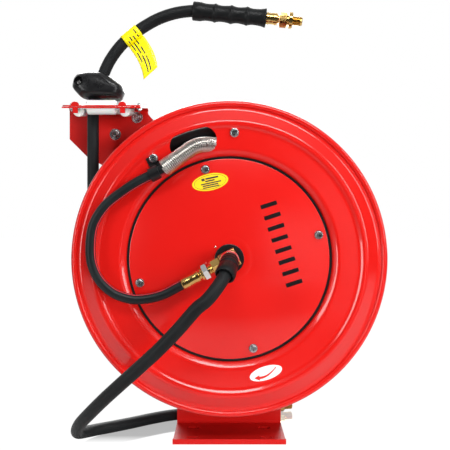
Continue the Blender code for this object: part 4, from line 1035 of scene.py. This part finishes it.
def axle():
    shaft_r, collar, back = 0.010, 0.0165, STAND_BACK
    profile = [(0, -0.0440), (shaft_r, -0.0440), (shaft_r, 0.0385), (collar, 0.0385),
               (collar, STAND_FRONT - 0.0003), (shaft_r, STAND_FRONT - 0.0003),
               (shaft_r - 0.0006, back + 0.0006)]
    profile += threaded(shaft_r, back + 0.0010, back + 0.0145, 0.0015, 0.0007)
    profile += [(0.0080, back + 0.0150), (0, back + 0.0150)]
    add_piece("axle_shaft", turned_mesh(profile, 48), STEEL, "stand_body", axle_place(), 28, "main_shaft")


def axle_nut():
    low = STAND_BACK + 0.0003
    nut = [(0.0103, low), (0.0180, low), (0.0185, low + 0.0005), (0.0185, low + 0.0020),
           (0.0180, low + 0.0025), (0.0174, low + 0.0025, 0.0150), (0.0174, low + 0.0108, 0.0150),
           (0.0160, low + 0.0118, 0.0150), (0.0142, low + 0.0123, 0.0150), (0.0112, low + 0.0123),
           (0.0103, low + 0.0116)]
    add_piece("axle_nut", turned_mesh(nut, 48), ZINC, "stand_body", axle_place(), 28, "shaft_nut")


def pawl_fittings():
    """The spring round the pawl's pivot and the screw that carries the pawl."""
    x, _, z = JOINTS["pawl_pivot"]["pos_m"]
    coil_r, turns, start, end = 0.0044, 5.5, 0.0368, 0.0430
    coil = []
    for step in range(int(turns * 20) + 1):
        share = step / (turns * 20)
        angle = tau * turns * share
        coil.append(Vector((x + coil_r * cos(angle), start + (end - start) * share,
                            z + coil_r * sin(angle))))
    add_piece("pawl_wire_spring", tube_mesh(coil, 0.0005, 7), WIRE, "stand_body", None, 60,
              "pawl_spring")
    low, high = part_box("pawl_bolt")
    nut = hex_head(high.y - 0.0044, 1, 0.0048, 0.0040, 0.0060, 0.0004, 0.0029)[::-1]
    profile = [(0, low.y), (0.0050, low.y), (0.0060, low.y + 0.0008), (0.0060, low.y + 0.0026),
               (0.0029, low.y + 0.0026), (0.0029, high.y - 0.0044)] + nut[1:]
    add_piece("pawl_screw", turned_mesh(profile, 36), ZINC, "stand_body", axle_place(x, z), 30,
              "pawl_bolt")


# ---- stickers ------------------------------------------------------------------------------------
def ellipse(centre_a, centre_b, half_a, half_b, tilt, steps=64):
    points = []
    for step in range(steps):
        angle = tau * step / steps
        a, b = half_a * cos(angle), half_b * sin(angle)
        points.append((centre_a + a * cos(tilt) - b * sin(tilt), centre_b + a * sin(tilt) + b * cos(tilt)))
    return points


def band_mesh(outer, inner, lift):
    bm = bmesh.new()
    rims = [[bm.verts.new((a, b, height)) for a, b in ring]
            for ring in (outer, inner) for height in (0.0, lift)]
    order = (rims[0], rims[1], rims[3], rims[2])
    for first, second in zip(order, order[1:] + order[:1]):
        for index in range(len(outer)):
            after = (index + 1) % len(outer)
            bm.faces.new((first[index], first[after], second[after], second[index]))
    return solid_mesh(bm)


def bars_mesh(centre, tilt, rows, lift):
    """Plain bars in rows; each is (along, up, half length, half height)."""
    bm = bmesh.new()
    turn = Matrix.Rotation(tilt, 2)
    for along, up, half_a, half_b in rows:
        corners = [turn @ Vector(c) for c in ((along - half_a, up - half_b), (along + half_a, up - half_b),
                                              (along + half_a, up + half_b), (along - half_a, up + half_b))]
        bottom = [bm.verts.new((centre[0] + c.x, centre[1] + c.y, 0.0)) for c in corners]
        top = [bm.verts.new((centre[0] + c.x, centre[1] + c.y, lift)) for c in corners]
        bm.faces.new(bottom)
        bm.faces.new(top)
        for index in range(4):
            bm.faces.new((bottom[index], bottom[index - 3], top[index - 3], top[index]))
    return solid_mesh(bm)


def caution_sticker():
    """A yellow oval with a thin border and plain bars."""
    tilt = radians(12)
    film = prism_mesh(ellipse(*CAUTION_LABEL, 0.0265, 0.0122, tilt), 0.0, LABEL_THICK)
    add_piece("oval_sticker", film, OVAL_YELLOW, "drum", facing_front(COVER_Y - 0.0001), 30,
              "caution_label")
    on_sticker = facing_front(COVER_Y - 0.0004)
    line = band_mesh(ellipse(*CAUTION_LABEL, 0.0236, 0.0103, tilt),
                     ellipse(*CAUTION_LABEL, 0.0231, 0.0098, tilt), PRINT_LIFT)
    add_piece("oval_border", line, PRINT, "drum", on_sticker, 30, ())
    rows = ((-0.0095, 0.0050, 0.0024, 0.0018), (0.0035, 0.0055, 0.0095, 0.0012),
            (0.0, 0.0020, 0.0070, 0.0010), (0.0010, -0.0014, 0.0150, 0.0009),
            (-0.0005, -0.0043, 0.0115, 0.0009), (0.0, -0.0072, 0.0120, 0.0008))
    bars = bars_mesh(CAUTION_LABEL, tilt, rows, PRINT_LIFT)
    add_piece("oval_bars", bars, PRINT, "drum", on_sticker, 30, ())


def arrow_outline():
    """A curved arrow that grows towards its head on the left."""
    upper, lower = [], []
    for step in range(17):
        share = step / 16
        spot = Vector((0.0165 - 0.0270 * share, 0.0040 - 0.0085 * sin(pi * share / 1.6)))
        half = 0.0007 + 0.0011 * share
        upper.append((spot.x, spot.y + half))
        lower.append((spot.x, spot.y - half))
    head = [(-0.0096, 0.0), (-0.0180, -0.0022), (-0.0114, -0.0078)]
    return upper + head + lower[::-1]


def arrow_sticker():
    """A white oval with a red arrow for the way that the drum turns."""
    tilt = radians(17.5)
    film = prism_mesh(ellipse(*ROTATION_LABEL, 0.0240, 0.0098, tilt), 0.0, LABEL_THICK)
    add_piece("arrow_sticker", film, WHITE, "drum", facing_front(FLAT_Y - 0.0001), 30, "rotation_label")
    turn = Matrix.Rotation(tilt, 2)
    placed = [tuple(turn @ Vector(p) + Vector(ROTATION_LABEL)) for p in arrow_outline()]
    add_piece("arrow_print", prism_mesh(placed, 0.0, PRINT_LIFT), RED_PRINT, "drum",
              facing_front(FLAT_Y - 0.0004), 30, ())


def cover_slats():
    """A column of plain dark bars down the front cover."""
    slats = [(0.0, 0.0595 - 0.0170 * index, 0.0122, 0.0030) for index in range(8)]
    add_piece("cover_slats", bars_mesh(SLATS_MIDDLE, radians(18), slats, 0.0001), PLASTIC, "drum",
              facing_front(COVER_Y - 0.00005), 30, ())


# ---- pieces of the frame that stay in view -------------------------------------------------------
def dress_frame():
    finishes = {
        "stand": SHEET_RED, "guide_arm": SHEET_RED, "roller_plate": SHEET_RED, "drum_core": RED,
        "hose_clamp": PLASTIC, "front_bush": BRONZE, "rear_bush": BRONZE, "spring_arbor": STEEL,
        "power_spring": STEEL, "ratchet_ring": STEEL, "pawl": STEEL,
    }
    for name, material in finishes.items():
        thing = NODES[name]
        thing.data.materials.clear()
        thing.data.materials.append(material)
    for name, width in (("stand", 0.0007), ("guide_arm", 0.0003), ("roller_plate", 0.0003),
                        ("hose_clamp", 0.0004), ("ratchet_ring", 0.0005), ("pawl", 0.0005)):
        break_edges(NODES[name], width, 2, 40)


# ---- camera, floor and light ---------------------------------------------------------------------
def camera():
    made = bpy.data.cameras.new("camera")
    made.lens = 44.64
    made.sensor_width = 36.0
    thing = bpy.data.objects.new("camera", made)
    thing.location = (-0.0063, -0.849, 0.3204)
    thing.rotation_euler = (pi / 2, 0.0, 0.0)
    bpy.context.scene.collection.objects.link(thing)
    bpy.context.scene.camera = thing


def floor():
    """A white board, polished behind the reel, that sends light back as plain card does."""
    bm = bmesh.new()
    bmesh.ops.create_grid(bm, x_segments=1, y_segments=1, size=12.0)
    mesh = bpy.data.meshes.new("floor")
    bm.to_mesh(mesh)
    bm.free()
    thing = bpy.data.objects.new("floor", mesh)
    bpy.context.scene.collection.objects.link(thing)
    material = bpy.data.materials.new("white_gloss_board")
    material.use_nodes = True
    tree = material.node_tree
    tree.nodes.remove(tree.nodes["Principled BSDF"])
    path = node(tree, "LightPath")
    bright = node(tree, "Emission", {"Color": (1.0, 1.0, 1.0, 1.0), "Strength": 1.06})
    mirror = node(tree, "BsdfGlossy", {"Color": (1.0, 1.0, 1.0, 1.0), "Roughness": 0.02})
    facing = node(tree, "LayerWeight", {"Blend": 0.5}).outputs["Facing"]
    depth = node(tree, "SeparateXYZ", {0: node(tree, "TexCoord").outputs["Object"]}).outputs["Y"]
    near = node(tree, "MapRange", {"Value": depth, "From Min": -0.60, "From Max": -0.35,
                                   "To Min": 0.06, "To Max": 0.70}).outputs["Result"]
    board = node(tree, "BsdfDiffuse", {"Color": near})
    polish = node(tree, "MapRange", {"Value": depth, "From Min": -0.030, "From Max": 0.0,
                                     "To Min": 0.0, "To Max": 0.85}).outputs["Result"]
    share = worked_out(tree, "MULTIPLY", facing, polish)
    seen = node(tree, "MixShader", {0: share, 1: bright.outputs[0], 2: mirror.outputs[0]})
    both = node(tree, "MixShader", {0: path.outputs["Is Camera Ray"], 1: board.outputs[0],
                                    2: seen.outputs[0]})
    tree.links.new(both.outputs[0], tree.nodes["Material Output"].inputs["Surface"])
    mesh.materials.append(material)


def surroundings():
    """A white room, dimmer behind the camera so that flat faces keep their colour."""
    world = bpy.data.worlds.new("studio")
    bpy.context.scene.world = world
    world.use_nodes = True
    tree = world.node_tree
    tree.nodes.remove(tree.nodes["Background"])
    direction = node(tree, "SeparateXYZ", {0: node(tree, "TexCoord").outputs["Generated"]})
    depth = node(tree, "MapRange", {"Value": direction.outputs["Y"], "From Min": -0.30, "From Max": 0.30,
                                    "To Min": 0.02, "To Max": 1.0}).outputs["Result"]
    height = node(tree, "MapRange", {"Value": direction.outputs["Z"], "From Min": 0.35, "From Max": 0.95,
                                     "To Min": 0.0, "To Max": 0.5}).outputs["Result"]
    level = worked_out(tree, "MAXIMUM", depth, height)
    path = node(tree, "LightPath")
    mirrored = node(tree, "MapRange", {"Value": path.outputs["Is Glossy Ray"], "To Min": 0.16,
                                       "To Max": 1.0})
    strength = worked_out(tree, "MULTIPLY", level, mirrored.outputs["Result"])
    lit = node(tree, "Background", {"Color": (1.0, 1.0, 1.0, 1.0), "Strength": strength})
    seen = node(tree, "Background", {"Color": (1.0, 1.0, 1.0, 1.0), "Strength": 1.0})
    both = node(tree, "MixShader", {0: path.outputs["Is Camera Ray"], 1: lit.outputs[0],
                                    2: seen.outputs[0]})
    tree.links.new(both.outputs[0], tree.nodes["World Output"].inputs["Surface"])


def softbox(name, place, target, size, power, mirrored=True):
    """A soft lamp; one that isn't mirrored lights the pieces without showing in their gloss."""
    lamp = bpy.data.lights.new(name, "AREA")
    lamp.shape = "RECTANGLE"
    lamp.size, lamp.size_y = size
    lamp.energy = power
    thing = bpy.data.objects.new(name, lamp)
    thing.location = place
    thing.rotation_euler = (Vector(target) - Vector(place)).to_track_quat("-Z", "Y").to_euler()
    thing.visible_glossy = mirrored
    bpy.context.scene.collection.objects.link(thing)


def lights():
    middle = (0.0, 0.0, 0.3)
    softbox("front", (0.75, -1.70, 0.30), middle, (0.9, 0.6), 24.0, False)
    softbox("overhead", (0.10, -0.55, 1.80), middle, (1.0, 0.5), 5.0, False)
    softbox("front_top", (0.25, -1.15, 1.35), middle, (1.1, 0.30), 13.0)
    softbox("left", (-1.15, -1.15, 0.45), middle, (0.25, 1.0), 7.0)
    softbox("right", (1.20, -1.05, 0.75), middle, (0.25, 1.0), 7.0)
    softbox("back", (-0.2, 1.5, 1.2), middle, (1.4, 0.8), 30.0)
    bpy.context.scene.view_settings.view_transform = "Standard"


camera()
lead_in()
free_end()
jumper()
wound_hose()
flanges()
covers()
swivel_block()
swivel_spindle()
swivel_outlet()
hub_disc()
spring_guard()
screws_on_covers()
screws_on_flange()
screws_on_arm()
screws_on_plate()
rollers()
axle()
axle_nut()
pawl_fittings()
caution_sticker()
arrow_sticker()
cover_slats()
dress_frame()
floor()
surroundings()
lights()
